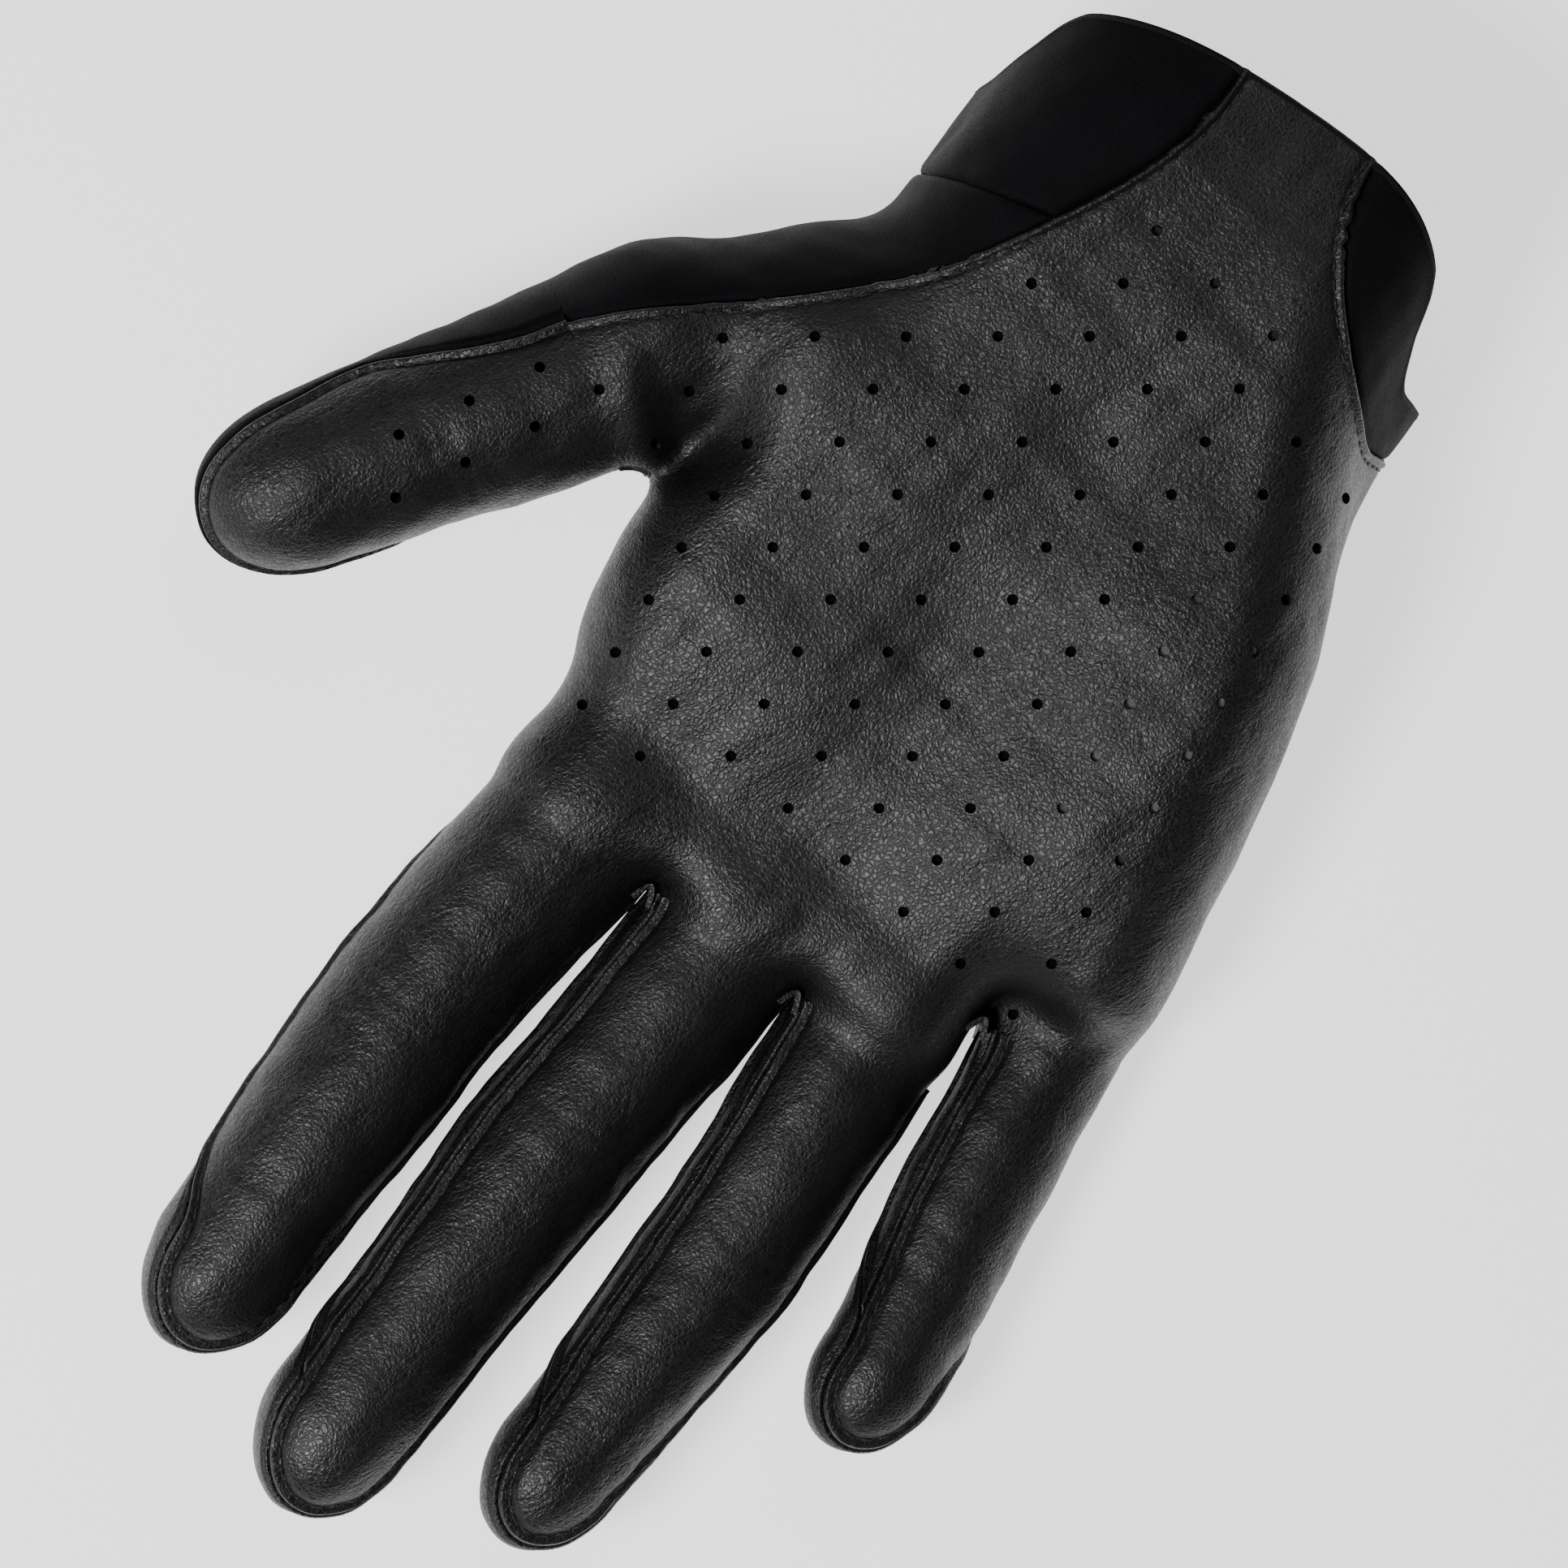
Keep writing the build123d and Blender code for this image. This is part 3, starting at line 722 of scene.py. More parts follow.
def stitch_mesh(chains):
    """Short rounded threads along chains of surface points."""
    rows = []
    for chain in chains:
        gaps = np.linalg.norm(np.diff(chain[:, POINT], axis=0), axis=1)
        run = np.concatenate([[0], np.cumsum(gaps)])
        last = run[-1] - STITCH_PITCH if run[-1] > SHORTEST_SEAM else 0
        for place in np.arange(STITCH_PITCH, last, STITCH_PITCH):
            ends = (place - STITCH_LENGTH / 2, place + STITCH_LENGTH / 2)
            rows.append([[np.interp(s, run, chain[:, i]) for i in range(6)] for s in ends])
    if not rows:
        return None
    a, b = np.array(rows).swapaxes(0, 1)
    along = unit(b[:, POINT] - a[:, POINT])
    across = unit(np.cross(along, unit(a[:, NORMAL] + b[:, NORMAL])))
    up = np.cross(across, along)[:, None, None]
    a, b, across = a[:, None, None, POINT], b[:, None, None, POINT], across[:, None, None]
    share, girth, drop = np.array(STITCH_RINGS).T[:, :, None, None]
    turn = around(STITCH_SIDES)
    points = (a + b) / 2 + (b - a) / 2 * share + STITCH_RADIUS * (
        across * girth * np.cos(turn) + up * (girth * np.sin(turn) + drop)
    )
    first = np.arange(len(points))[:, None, None] * len(STITCH_RINGS) * STITCH_SIDES
    return points.reshape(-1, 3), (first + ring_faces(len(STITCH_RINGS), STITCH_SIDES)).reshape(-1, 3)


def sew(name, chains, bodies="hand", ends=None, pressed=False):
    """Stitches along chains; those of the closure are pressed off the floor."""
    made = stitch_mesh(chains)
    if made:
        points, faces = made
        sewing = make_object(name, off_floor(points) if pressed else points, faces)
        dressed(sewing, thread, "leather", bodies, ends)


def rolled_band(name, chains, step, radius_across, radius_up, sides):
    """A round band swept along the longest chain, a little sunk into the skin."""
    chain = max(chains, key=len)
    run = np.concatenate([[0], np.cumsum(np.linalg.norm(np.diff(chain, axis=0), axis=1))])
    places = np.linspace(0, run[-1], max(4, int(run[-1] / step)))
    chain = np.stack([np.interp(places, run, column) for column in chain.T], 1)
    path, up = chain[:, POINT] - 0.42 * chain[:, BASE_NORMAL], chain[:, BASE_NORMAL]
    along = unit(np.vstack([path[1] - path[0], path[2:] - path[:-2], path[-1] - path[-2]]))
    across = unit(np.cross(along, up))
    up = np.cross(across, along)[:, None]
    turn = around(sides)
    points = path[:, None] + across[:, None] * radius_across * np.cos(turn) + up * radius_up * np.sin(turn)
    return make_object(name, off_floor(points.reshape(-1, 3)), ring_faces(len(path), sides))


# ---------------------------------------------------------------- materials

def new_material(name):
    material = bpy.data.materials.new(name)
    material.use_nodes = True
    tree = material.node_tree
    shader = tree.nodes["Principled BSDF"]
    rest = tree.nodes.new("ShaderNodeAttribute")
    rest.attribute_name = "rest"
    return material, tree, shader, rest.outputs["Vector"]


def fill(tree, made, inputs):
    """Links or sets a node's inputs."""
    for key, value in inputs.items():
        if isinstance(value, bpy.types.NodeSocket):
            tree.links.new(value, made.inputs[key])
        else:
            made.inputs[key].default_value = value


def node(tree, kind, inputs, **settings):
    made = tree.nodes.new(kind)
    for key, value in settings.items():
        setattr(made, key, value)
    fill(tree, made, inputs)
    return made


def maths(tree, operation, a, b=0.0):
    return node(tree, "ShaderNodeMath", {0: a, 1: b}, operation=operation).outputs[0]


def opposite(tree, value):
    return maths(tree, "SUBTRACT", 1.0, value)


def noise(tree, vector, scale, detail=2.0, rough=0.5, distortion=0.0):
    made = node(
        tree, "ShaderNodeTexNoise",
        {"Vector": vector, "Scale": scale, "Detail": detail, "Roughness": rough, "Distortion": distortion},
    )
    return made.outputs["Fac"]


def cells(tree, vector, scale, randomness=1.0):
    inputs = {"Vector": vector, "Scale": scale, "Randomness": randomness}
    return node(tree, "ShaderNodeTexVoronoi", inputs, feature="DISTANCE_TO_EDGE").outputs["Distance"]


def bands(tree, vector, scale, distortion, direction="X", detail=2.0, detail_scale=1.0):
    inputs = {"Vector": vector, "Scale": scale, "Distortion": distortion}
    inputs |= {"Detail": detail, "Detail Scale": detail_scale}
    settings = {"wave_type": "BANDS", "bands_direction": direction, "wave_profile": "SIN"}
    return node(tree, "ShaderNodeTexWave", inputs, **settings).outputs["Fac"]


def spread(tree, value, low, high, to_low=0.0, to_high=1.0):
    made = node(
        tree, "ShaderNodeMapRange",
        {"Value": value, "From Min": low, "From Max": high, "To Min": to_low, "To Max": to_high},
        interpolation_type="SMOOTHSTEP",
    )
    return made.outputs["Result"]


def mixed(tree, share, one, two):
    one, two = (c if isinstance(c, bpy.types.NodeSocket) else (*c, 1.0) for c in (one, two))
    return node(tree, "ShaderNodeMix", {"Factor": share, 6: one, 7: two}, data_type="RGBA").outputs[2]


def turned(tree, vector, angle, scale=(1, 1, 1)):
    made = node(tree, "ShaderNodeMapping", {"Vector": vector, "Rotation": (0, 0, angle), "Scale": scale})
    return made.outputs["Vector"]


def shade(colour, times, plus=0.0):
    return tuple(c * times + plus for c in colour)


def paint(tree, shader, inputs, heights):
    """Sets a shader's inputs, and its bumps one after the other: each is (height, strength)."""
    fill(tree, shader, inputs)
    normal = None
    for height, strength in heights:
        bump = node(tree, "ShaderNodeBump", {"Height": height, "Strength": strength, "Distance": MM})
        if normal is not None:
            tree.links.new(normal, bump.inputs["Normal"])
        normal = bump.outputs["Normal"]
    tree.links.new(normal, shader.inputs["Normal"])


def leather_material(name, colour, grain=1.55):
    """Fine-grained leather: pebbles, pores, soft folds and slanting creases, worn in patches, with painted
    shade in the grooves between pebbles and in the creases.
    """
    material, tree, shader, rest = new_material(name)
    warp = node(tree, "ShaderNodeTexNoise", {"Vector": rest, "Scale": 0.9, "Detail": 1.0}).outputs["Color"]
    bent = node(tree, "ShaderNodeVectorMath", {0: rest, 1: warp}, operation="ADD").outputs["Vector"]
    pebble = spread(tree, cells(tree, bent, grain, 0.9), 0.0, 0.26)
    grit = spread(tree, cells(tree, bent, grain * 2.1), 0.0, 0.2)
    pores = noise(tree, rest, 3.6, 3.0, 0.6)
    patches = noise(tree, rest, 0.055, 3.0, 0.55)
    # Fine creases that run slantwise over the palm, stronger in some places than in others.
    slant = turned(tree, turned(tree, rest, math.radians(23)), 0.0, (0.62, 0.15, 0.35))
    crease = noise(tree, slant, 1.0, 3.0, 0.6, 0.9)
    crease = spread(tree, maths(tree, "ABSOLUTE", maths(tree, "SUBTRACT", crease, 0.5)), 0.0, 0.11)
    where = spread(tree, noise(tree, rest, 0.03, 2.0, 0.5), 0.40, 0.58)
    crease = maths(tree, "MULTIPLY", opposite(tree, crease), where)
    # The darker tone of the painted shade in the grooves and creases.
    dark = shade(colour, 0.35)
    tone = mixed(tree, spread(tree, patches, 0.35, 0.68), colour, shade(colour, 1.6, 0.0006))
    # Painted shade: the grooves between the pebbles are darkened.
    tone = mixed(tree, spread(tree, pebble, 0.0, 1.0, 0.6, 0.0), tone, dark)
    # Painted shade: the slanting creases are darkened.
    tone = mixed(tree, maths(tree, "MULTIPLY", crease, 0.7), tone, dark)
    sheen = maths(tree, "ADD", maths(tree, "MULTIPLY", pores, 0.6), maths(tree, "MULTIPLY", patches, 0.4))
    rough = spread(tree, sheen, 0.3, 0.7, 0.32, 0.44)
    rough = maths(tree, "ADD", rough, maths(tree, "MULTIPLY", opposite(tree, pebble), 0.15))
    folds = noise(tree, rest, 0.22, 3.0, 0.55, 0.6)
    paint(
        tree, shader, {"Base Color": tone, "Roughness": rough, "Specular IOR Level": 0.5},
        [(folds, 0.10), (opposite(tree, crease), 0.13), (pebble, 0.16), (grit, 0.05), (pores, 0.05)],
    )
    return material


def stretch_material(name, colour, angle, rib=1.45):
    """Stretch cloth with fine slanting ribs, with painted shade in the grooves between ribs and a painted
    highlight on their crests; the angle turns them to the panel's own direction.
    """
    material, tree, shader, rest = new_material(name)
    rows = bands(tree, turned(tree, rest, angle), rib, 0.35, detail=1.0, detail_scale=1.5)
    cross = bands(tree, turned(tree, rest, angle - 0.6), rib * 1.7, 0.5)
    fuzz = noise(tree, rest, 5.0, 2.0, 0.6)
    patches = noise(tree, rest, 0.08, 2.0, 0.5)
    # A lighter tone, used for the painted highlight on the rib crests and for random lighter patches.
    light = shade(colour, 2.0, 0.0008)
    # Painted shade: the grooves between the ribs are darker.
    tone = mixed(tree, rows, shade(colour, 0.4), colour)
    # Painted highlight: the crests of the ribs are lighter where the fuzz is strong.
    tone = mixed(tree, spread(tree, maths(tree, "MULTIPLY", rows, fuzz), 0.32, 0.7), tone, light)
    tone = mixed(tree, spread(tree, patches, 0.4, 0.7, 0.0, 0.4), tone, light)
    inputs = {
        "Base Color": tone, "Roughness": spread(tree, fuzz, 0.3, 0.7, 0.6, 0.8),
        "Specular IOR Level": 0.12, "Sheen Weight": 0.012, "Sheen Roughness": 0.4,
    }
    paint(tree, shader, inputs, [(patches, 0.25), (rows, 0.28), (cross, 0.12), (fuzz, 0.1)])
    return material


def woven_material(name, colour, scale, sheen=0.2, rough=0.75):
    """Plain woven cloth or tape, with painted shade in the gaps of the weave."""
    material, tree, shader, rest = new_material(name)
    weave = maths(tree, "MULTIPLY", *[bands(tree, rest, scale, 0.3, direction) for direction in ("X", "Y")])
    fuzz = noise(tree, rest, 4.0, 3.0, 0.6)
    # Painted shade: the gaps between the threads of the weave are darker.
    tone = mixed(tree, spread(tree, weave, 0.1, 0.7), shade(colour, 0.6), colour)
    tone = mixed(tree, spread(tree, fuzz, 0.45, 0.75, 0.0, 0.6), tone, shade(colour, 1.5, 0.001))
    inputs = {
        "Base Color": tone, "Roughness": spread(tree, fuzz, 0.3, 0.7, rough - 0.1, rough + 0.1),
        "Sheen Weight": sheen, "Specular IOR Level": 0.25,
    }
    paint(tree, shader, inputs, [(weave, 0.35), (fuzz, 0.2)])
    return material


# Where the pale padding lies behind the palm: axis, two ends of a ramp in mm, and its two values.
PALE_RAMPS = [("X", -33, -36, 0, 1), ("X", -52, -50, 0, 1), ("Y", -52, -49, 0, 1), ("Y", -22, -18, 1, 0)]


def padding_and_shade_material(name):
    """A sheet behind the palm's holes: near black as painted shade for the hollow seen through them, pale where
    the padding lies near the little finger's side.
    """
    material, tree, shader, rest = new_material(name)
    place = node(tree, "ShaderNodeSeparateXYZ", {"Vector": rest}).outputs
    pale = 1.0
    for axis, *ends in PALE_RAMPS:
        pale = maths(tree, "MULTIPLY", pale, spread(tree, place[axis], *ends))
    weave = noise(tree, rest, 4.0, 2.0, 0.6)
    # Painted shade: near black wherever no padding lies, for the dark hollow seen through the holes.
    tone = mixed(tree, pale, (0.0012, 0.0012, 0.0013), (0.16, 0.16, 0.165))
    tone = mixed(tree, spread(tree, weave, 0.3, 0.8, 0.0, 0.5), tone, (0.002, 0.002, 0.002))
    paint(tree, shader, {"Base Color": tone, "Roughness": 0.85, "Specular IOR Level": 0.1}, [(weave, 0.4)])
    return material


def thread_material(name, colour):
    material, tree, shader, rest = new_material(name)
    twist = noise(tree, rest, 3.0, 2.0, 0.6)
    tone = mixed(tree, twist, shade(colour, 0.6), shade(colour, 1.5))
    paint(tree, shader, {"Base Color": tone, "Roughness": 0.55, "Sheen Weight": 0.05}, [(twist, 0.4)])
    return material


leather = leather_material("leather_black", (0.0036, 0.0029, 0.0028))
fork_leather = leather_material("leather_forks", (0.0022, 0.0021, 0.0023), 1.7)
RIB_SLANT = 0.3
thumb_heading = math.atan2(thumb.along[1], thumb.along[0])
stretch = stretch_material("stretch_twill", (0.0011, 0.0011, 0.0022), RIB_SLANT - thumb_heading)
cuff_stretch = stretch_material("stretch_cuff", (0.0011, 0.0011, 0.0021), RIB_SLANT - math.pi / 2, 1.2)
tape = woven_material("edge_tape", (0.0035, 0.0035, 0.0038), 1.9, 0.03, 0.8)
elastic_cloth = woven_material("elastic_cloth", (0.014, 0.014, 0.016), 1.1)
label_cloth = woven_material("label_cloth", (0.42, 0.42, 0.43), 2.4)
hooks = woven_material("hook_face", (0.010, 0.010, 0.011), 2.2, 0.05, 0.5)
loops = woven_material("loop_face", (0.006, 0.006, 0.0068), 1.3, 0.12, 0.9)
thread = thread_material("thread_dark", (0.0035, 0.0034, 0.0036))
padding_and_shade = padding_and_shade_material("lining_cloth")


# ---------------------------------------------------------------- the skin's raw surfaces

# The hand: one net round the palm, the heel of the thumb and the stubs of the fingers.
lows = np.array([palm_rows[:, 1].min() - 3, rim_low - 2.5, cad_box[0][2] / MM - 2])
highs = np.array([heel[0][0][0] + 14, knuckle_end + 3.5, cad_box[1][2] / MM + 3])
points, faces = surface_net(hand_field, lows, highs, 1.0)
points = settle(points, hand_field)
hand = rested(points, hand_field)
hand_faces = faces

# Where the skin ends: flat ends of the stubs are cut off, and so is all that lies past the rim.
middle_y = middle_finger.origin[1] + middle_finger.start
hand, hand_faces = clip(hand, hand_faces, hand[:, 1] - middle_y)
little_cut = np.minimum(
    hand[:, 1] - (little.origin[1] + little.start),
    parting(ring, little, hand[:, 1]) - 0.35 - hand[:, 0],
)
hand, hand_faces = clip(hand, hand_faces, little_cut)
u, s, z = thumb.local(hand[:, POINT])
cu, cz, hu, hz = thumb.shape(s)
near_thumb = 1.35 - np.hypot((u - cu) / hu, (z - cz) / hz)
hand, hand_faces = clip(hand, hand_faces, np.minimum(s - thumb.start, near_thumb * 10))

# The palm leather's own edge at the cuff: the x and y of its rim.
rim_edges = node_edges(["palm_front", "cuff_thumb_side", "cuff_little_side"])
rim_rows = []
for x in np.linspace(lows[0] + 12, 30, 60):
    points = crossing(rim_edges, np.array([x, 0, 0.0]), np.array([1.0, 0, 0]))
    points = points[points[:, 2] > 26]
    if len(points) and points[:, 1].min() < rim_back + 1:
        rim_rows.append((x, points[:, 1].min()))
rim_rows = np.array(rim_rows)


def past_rim(points):
    """How far points lie past the rim: it steps back at both sides of the palm leather, round its corners."""
    palm_side = np.interp(points[:, 0], rim_rows[:, 0], rim_rows[:, 1])
    inside = np.minimum(points[:, 0] - rim_rows[0, 0], rim_rows[-1, 0] - points[:, 0])
    share = ramp(points[:, 2], 15, 30) * ramp(inside, -4, 1.5)
    corner = 5.5 * ramp(-inside, -3.5, 3.5)
    return (palm_side * share + rim_back * (1 - share)) + corner - points[:, 1]


hand, hand_faces = clip(hand, hand_faces, past_rim(hand[:, BASE]))


# ---------------------------------------------------------------- the hand's panels

PANELS = len(PALM_NODES)
hand = np.hstack([hand, seam_gaps(hand[:, BASE], PALM_NODES)])
whole_hand, whole_faces = hand, hand_faces

slit_low, slit_high = (np.array(corner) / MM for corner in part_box("slit_binding"))
slit_x, slit_tip = (slit_low[0] + slit_high[0]) / 2, slit_high[1] - 10.4
SLIT_SLOPE = 4.0 / 51.0


def in_slit(points):
    wide = SLIT_SLOPE * (slit_tip - points[:, 1]) - np.abs(points[:, 0] - slit_x)
    return np.minimum(wide, 14 - points[:, 2])


hand, hand_faces = clip(hand, hand_faces, in_slit(hand[:, BASE]))

# Round holes punched through the palm leather: a slanting lattice, from one spot in two steps.
HOLE_RADIUS, HOLE_ROOM = 0.68, 4.5
HOLE_STEPS = np.array([(-9.0, -6.5), (-0.5, 7.5)])
hole_start = index.origin[:2] + (-18.3, -50.7)


def hole_centres(table, inside, low, high):
    """Spots of the lattice between two corners that lie on the palm's face, clear of its seams."""
    spots = [hole_start + HOLE_STEPS.T @ (i, j) for i in range(-9, 7) for j in range(-14, 12)]
    upper = table[:, NORMAL_Z] > 0.35
    flat, room = table[upper][:, :2], inside[upper]
    kept = []
    for spot in spots:
        if (low < spot).all() and (spot < high).all():
            gaps = ((flat - spot) ** 2).sum(1)
            nearest = gaps.argmin()
            if gaps[nearest] < 1.5 and room[nearest] > HOLE_ROOM:
                kept.append(spot)
    return np.array(kept)


def to_holes(rows, centres):
    """How far points lie from the nearest hole's centre, seen from above."""
    return np.min(np.linalg.norm(rows[:, None, :2] - centres, axis=2), axis=1)


def punched(table, faces, centres):
    """Round holes cut through a panel's upper side, each in a shallow dimple."""
    def from_hole(rows):
        return np.where(rows[:, NORMAL_Z] > 0.2, to_holes(rows, centres), 9.0)

    for reach in (1.7, 1.3):
        table, faces = refined(table, faces, lambda rows: from_hole(rows) < reach)
    dimple = 0.16 * np.exp(-((from_hole(table) / 1.1) ** 2))
    table[:, POINT] -= dimple[:, None] * table[:, BASE_NORMAL]
    return clip(table, faces, HOLE_RADIUS - from_hole(table))


HAND_PANELS = [
    ("palm_leather", RAISED * (1, 0.55), leather, "leather"),
    ("back_leather", TURNED, leather, "leather"),
    ("thumb_side_stretch", TURNED, stretch, "stretch_fabric"),
    ("cuff_stretch_thumb", TURNED, cuff_stretch, "stretch_fabric"),
    ("cuff_stretch_little", TURNED, cuff_stretch, "stretch_fabric"),
]
for own, (name, profile, material, slot) in enumerate(HAND_PANELS):
    table, faces = sewn_panel(hand, hand_faces, own, PANELS, profile)
    if name == "palm_leather":
        corners = (lows[0] + 16, rim_back + 8), (thumb.origin[0] - 4, middle_y - 12)
        centres = hole_centres(table, margin(table, own, PANELS), *corners)
        backing = clip(table, faces, to_holes(table, centres) - 5)
        table, faces = punched(table, faces, centres)
        # The sheet under the holes: pale padding, elsewhere painted shade.
        dressed(thick("palm_lining", *backing, wall=0.25, lift=-0.95), padding_and_shade, "leather")
    dressed(thick(name, table, faces), material, slot, replaced=[PALM_NODES[own]])
    if slot == "leather":
        beside = margin(table, own, PANELS) - profile[-2, 0] - 0.15
        sew(f"{name}_stitches", level_lines(table, faces, beside))


# ---------------------------------------------------------------- fingers and thumb

AROUND = 104


def sleeve(digit, field):
    """A sleeve of rings along a digit, closed over its tip."""
    rings = list(np.arange(digit.start, digit.dome_start, 0.75))
    shares = np.sin(np.linspace(0, math.pi / 2, 18))[:-1]
    turn = np.arange(AROUND) * 2 * math.pi / AROUND
    points = []
    for s, share in [(s, 0.0) for s in rings] + [(digit.dome_start, share) for share in shares]:
        cu, cz, hu, hz = digit.shape(s)
        size = math.sqrt(1 - share**2)
        u, z = cu + hu * size * np.cos(turn), cz + hz * size * np.sin(turn)
        spot = digit.origin + (s + share * digit.dome) * digit.along + u[:, None] * digit.side
        spot[:, 2] = z
        points.append(spot)
    cu, cz, hu, hz = digit.shape(digit.dome_start)
    end = digit.origin + digit.tip * digit.along + cu * digit.side
    end[2] = cz
    count = len(points)
    points = np.vstack([*points, end])
    near = np.nonzero((points - digit.origin) @ digit.along < 18)[0]
    points[near] = settle(points[near], field, 5, digit.along)
    rows = np.arange(count - 1)[:, None] * AROUND
    k = np.arange(AROUND)
    n = (k + 1) % AROUND
    a, b, c, d = rows + k, rows + n, rows + AROUND + n, rows + AROUND + k
    faces = np.concatenate([
        np.stack([a, b, c], -1).reshape(-1, 3), np.stack([a, c, d], -1).reshape(-1, 3),
        np.stack([(count - 1) * AROUND + k, (count - 1) * AROUND + n, np.full(AROUND, count * AROUND)], 1),
    ])
    table = rested(points, field)
    turned_out = (mesh_normals(table[:, POINT], faces) * table[:, NORMAL]).sum(1).mean()
    return table, faces if turned_out > 0 else faces[:, ::-1]


FORK_HALF = 3.0
FINGER_ROLL = math.radians(15)
THUMB_ROLL, THUMB_UNROLL = math.radians(57), math.radians(37)


def across_seam(digit, points):
    """Height over a digit's rolled middle plane, place across (above zero on the thumb's side) and along."""
    u, s, z = digit.local(points)
    cu, cz, hu, hz = digit.shape(s)
    roll = THUMB_ROLL - THUMB_UNROLL * ramp(s, 0, 30) if digit is thumb else FINGER_ROLL
    height = (z - cz) * np.cos(roll) - (u - cu) * np.sin(roll)
    return height, u - cu, s


def digit_gaps(digit, points, kinds):
    """The seam columns of a digit's sleeve: front, back and forks."""
    height, side, s = across_seam(digit, points)
    cu, cz, hu, hz = digit.shape(digit.start)
    front_edge, back_edge = np.zeros(len(points)), np.zeros(len(points))
    for name, sign in (("outer", 1), ("inner", -1)):
        here = side * sign >= 0
        rise = ramp(s, digit.tip - 28, digit.tip - 12)
        if digit is thumb:
            top = low = 2.5 * rise
        elif name in digit.sides:
            top = FORK_HALF + 0.8 * rise
            low = -FORK_HALF + (2 * FORK_HALF + 1.4) * rise
        else:
            drop = seam_height - cz
            reach = sign * hu * math.sqrt(1 - (drop / hz) ** 2)
            first = drop * math.cos(FINGER_ROLL) - reach * math.sin(FINGER_ROLL)
            top = low = first + (-FORK_HALF - first) * ramp(s, digit.start, 22) + (2 * FORK_HALF + 0.8) * rise
        front_edge = np.where(here, top, front_edge)
        back_edge = np.where(here, low, back_edge)
    columns = []
    for i, one in enumerate(kinds):
        for other in kinds[i + 1 :]:
            if one == "front" and other == "back":
                columns.append(front_edge - height)
            elif one.startswith("fork"):
                columns.append(np.where(side > 0, -9.0, 9.0))
            else:
                own_side = side * (1 if other.endswith("outer") else -1) > 0
                edge = front_edge - height if one == "front" else height - back_edge
                columns.append(np.where(own_side, edge, -9.0))
    return np.stack(columns, 1)


# Holes in the thumb's front panel: distances along and across the thumb.
THUMB_HOLES = [(2.1 + 9.5 * i, 2.2 - 0.8 * i) for i in range(3)] + [(5.2 + 9.5 * i, -4.4 - i) for i in range(3)]

for digit in [*fingers, thumb]:
    field = thumb_field if digit is thumb else (lambda points: finger_field(digit, points))
    skin, faces = sleeve(digit, field)
    kinds = ["front", "back"] + [f"fork_{side}" for side in digit.sides]
    skin = np.hstack([skin, digit_gaps(digit, skin[:, BASE], kinds)])
    for own, kind in enumerate(kinds):
        table, panel_faces = sewn_panel(skin, faces, own, len(kinds), RAISED)
        material, slot, chains = fork_leather if "fork" in kind else leather, "leather", []
        if digit is thumb and kind == "front":
            centres = np.array([(digit.origin + s * digit.along + u * digit.side)[:2] for s, u in THUMB_HOLES])
            table, panel_faces = punched(table, panel_faces, centres)
        elif digit is thumb:
            material, slot = stretch, "stretch_fabric"
        if kind == "front":
            chains = level_lines(table, panel_faces, margin(table, own, len(kinds)) - 1.1)
        along = (table[:, BASE] - digit.origin) @ digit.along
        halves = [("proximal", along - digit.split), ("distal", digit.split - along)]
        for (part, value), zone, bodies in zip(halves, digit.zones, (digit.bodies[:2], digit.bodies[1:])):
            name = f"{digit.name}_{part}_{kind}"
            piece = thick(f"{name}_skin", *clip(table, panel_faces, value))
            ends = [tuple((digit.origin + s * digit.along) * MM) for s in zone]
            dressed(piece, material, slot, bodies, ends, [name])
            runs = []
            for chain in chains:
                place = (chain[:, POINT] - digit.origin) @ digit.along
                keep = place < digit.split if part == "proximal" else place >= digit.split
                for run in np.split(np.arange(len(chain)), np.nonzero(np.diff(keep))[0] + 1):
                    if keep[run[0]] and len(run) > 3:
                        runs.append(chain[run])
            sew(f"{name}_stitches", runs, bodies, ends)


# ---------------------------------------------------------------- cuff, slit and closure

def plan_gap(rows, low, high, corner):
    """Signed distance from a rounded rectangle seen from above: below zero inside."""
    centre, half = (np.array(low[:2]) + high[:2]) / 2, (np.array(high[:2]) - low[:2]) / 2
    q = np.abs(rows[:, BASE][:, :2] - centre) - half + corner
    return np.linalg.norm(np.maximum(q, 0), axis=1) + np.minimum(q.max(1), 0) - corner


def cad_plan(name):
    return [np.array(corner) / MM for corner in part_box(name)]


def patch(name, gap, upper, lift, wall, edge=0.6):
    """A piece that follows the hand's skin, inside an outline, with rounded edges, and its upper face."""
    height = whole_hand[:, BASE_Z]
    table, faces = clip(whole_hand, whole_faces, 20 - height if upper else height - 8)
    # Under the hand a patch also ends where the skin turns up.
    plan = gap if upper else (lambda rows: np.maximum(gap(rows), 9 * (rows[:, BASE_NORMAL_Z] + 0.55)))
    table, faces = clip(table, faces, plan(table) - 1.5)
    table, faces = refined(table, faces, lambda rows: np.abs(plan(rows)) < 1.4)
    table, faces = clip(table, faces, plan(table))
    for share in (0.12, 0.4, 1.0):
        table, faces = score(table, faces, plan(table) + edge * share)
    inside = np.clip(-plan(table) / edge, 0, 1)
    thin = (wall / 2 * (1 - np.sqrt(1 - (1 - inside) ** 2)))[:, None] * table[:, BASE_NORMAL]
    table[:, POINT] = table[:, BASE] - thin
    table[:, BASE] += thin
    table[:, NORMAL] = mesh_normals(table[:, POINT], faces)
    piece = thick(name, table, faces, wall, lift)
    table[:, POINT] = off_floor(table[:, POINT] + lift * table[:, BASE_NORMAL])
    return piece, table, faces


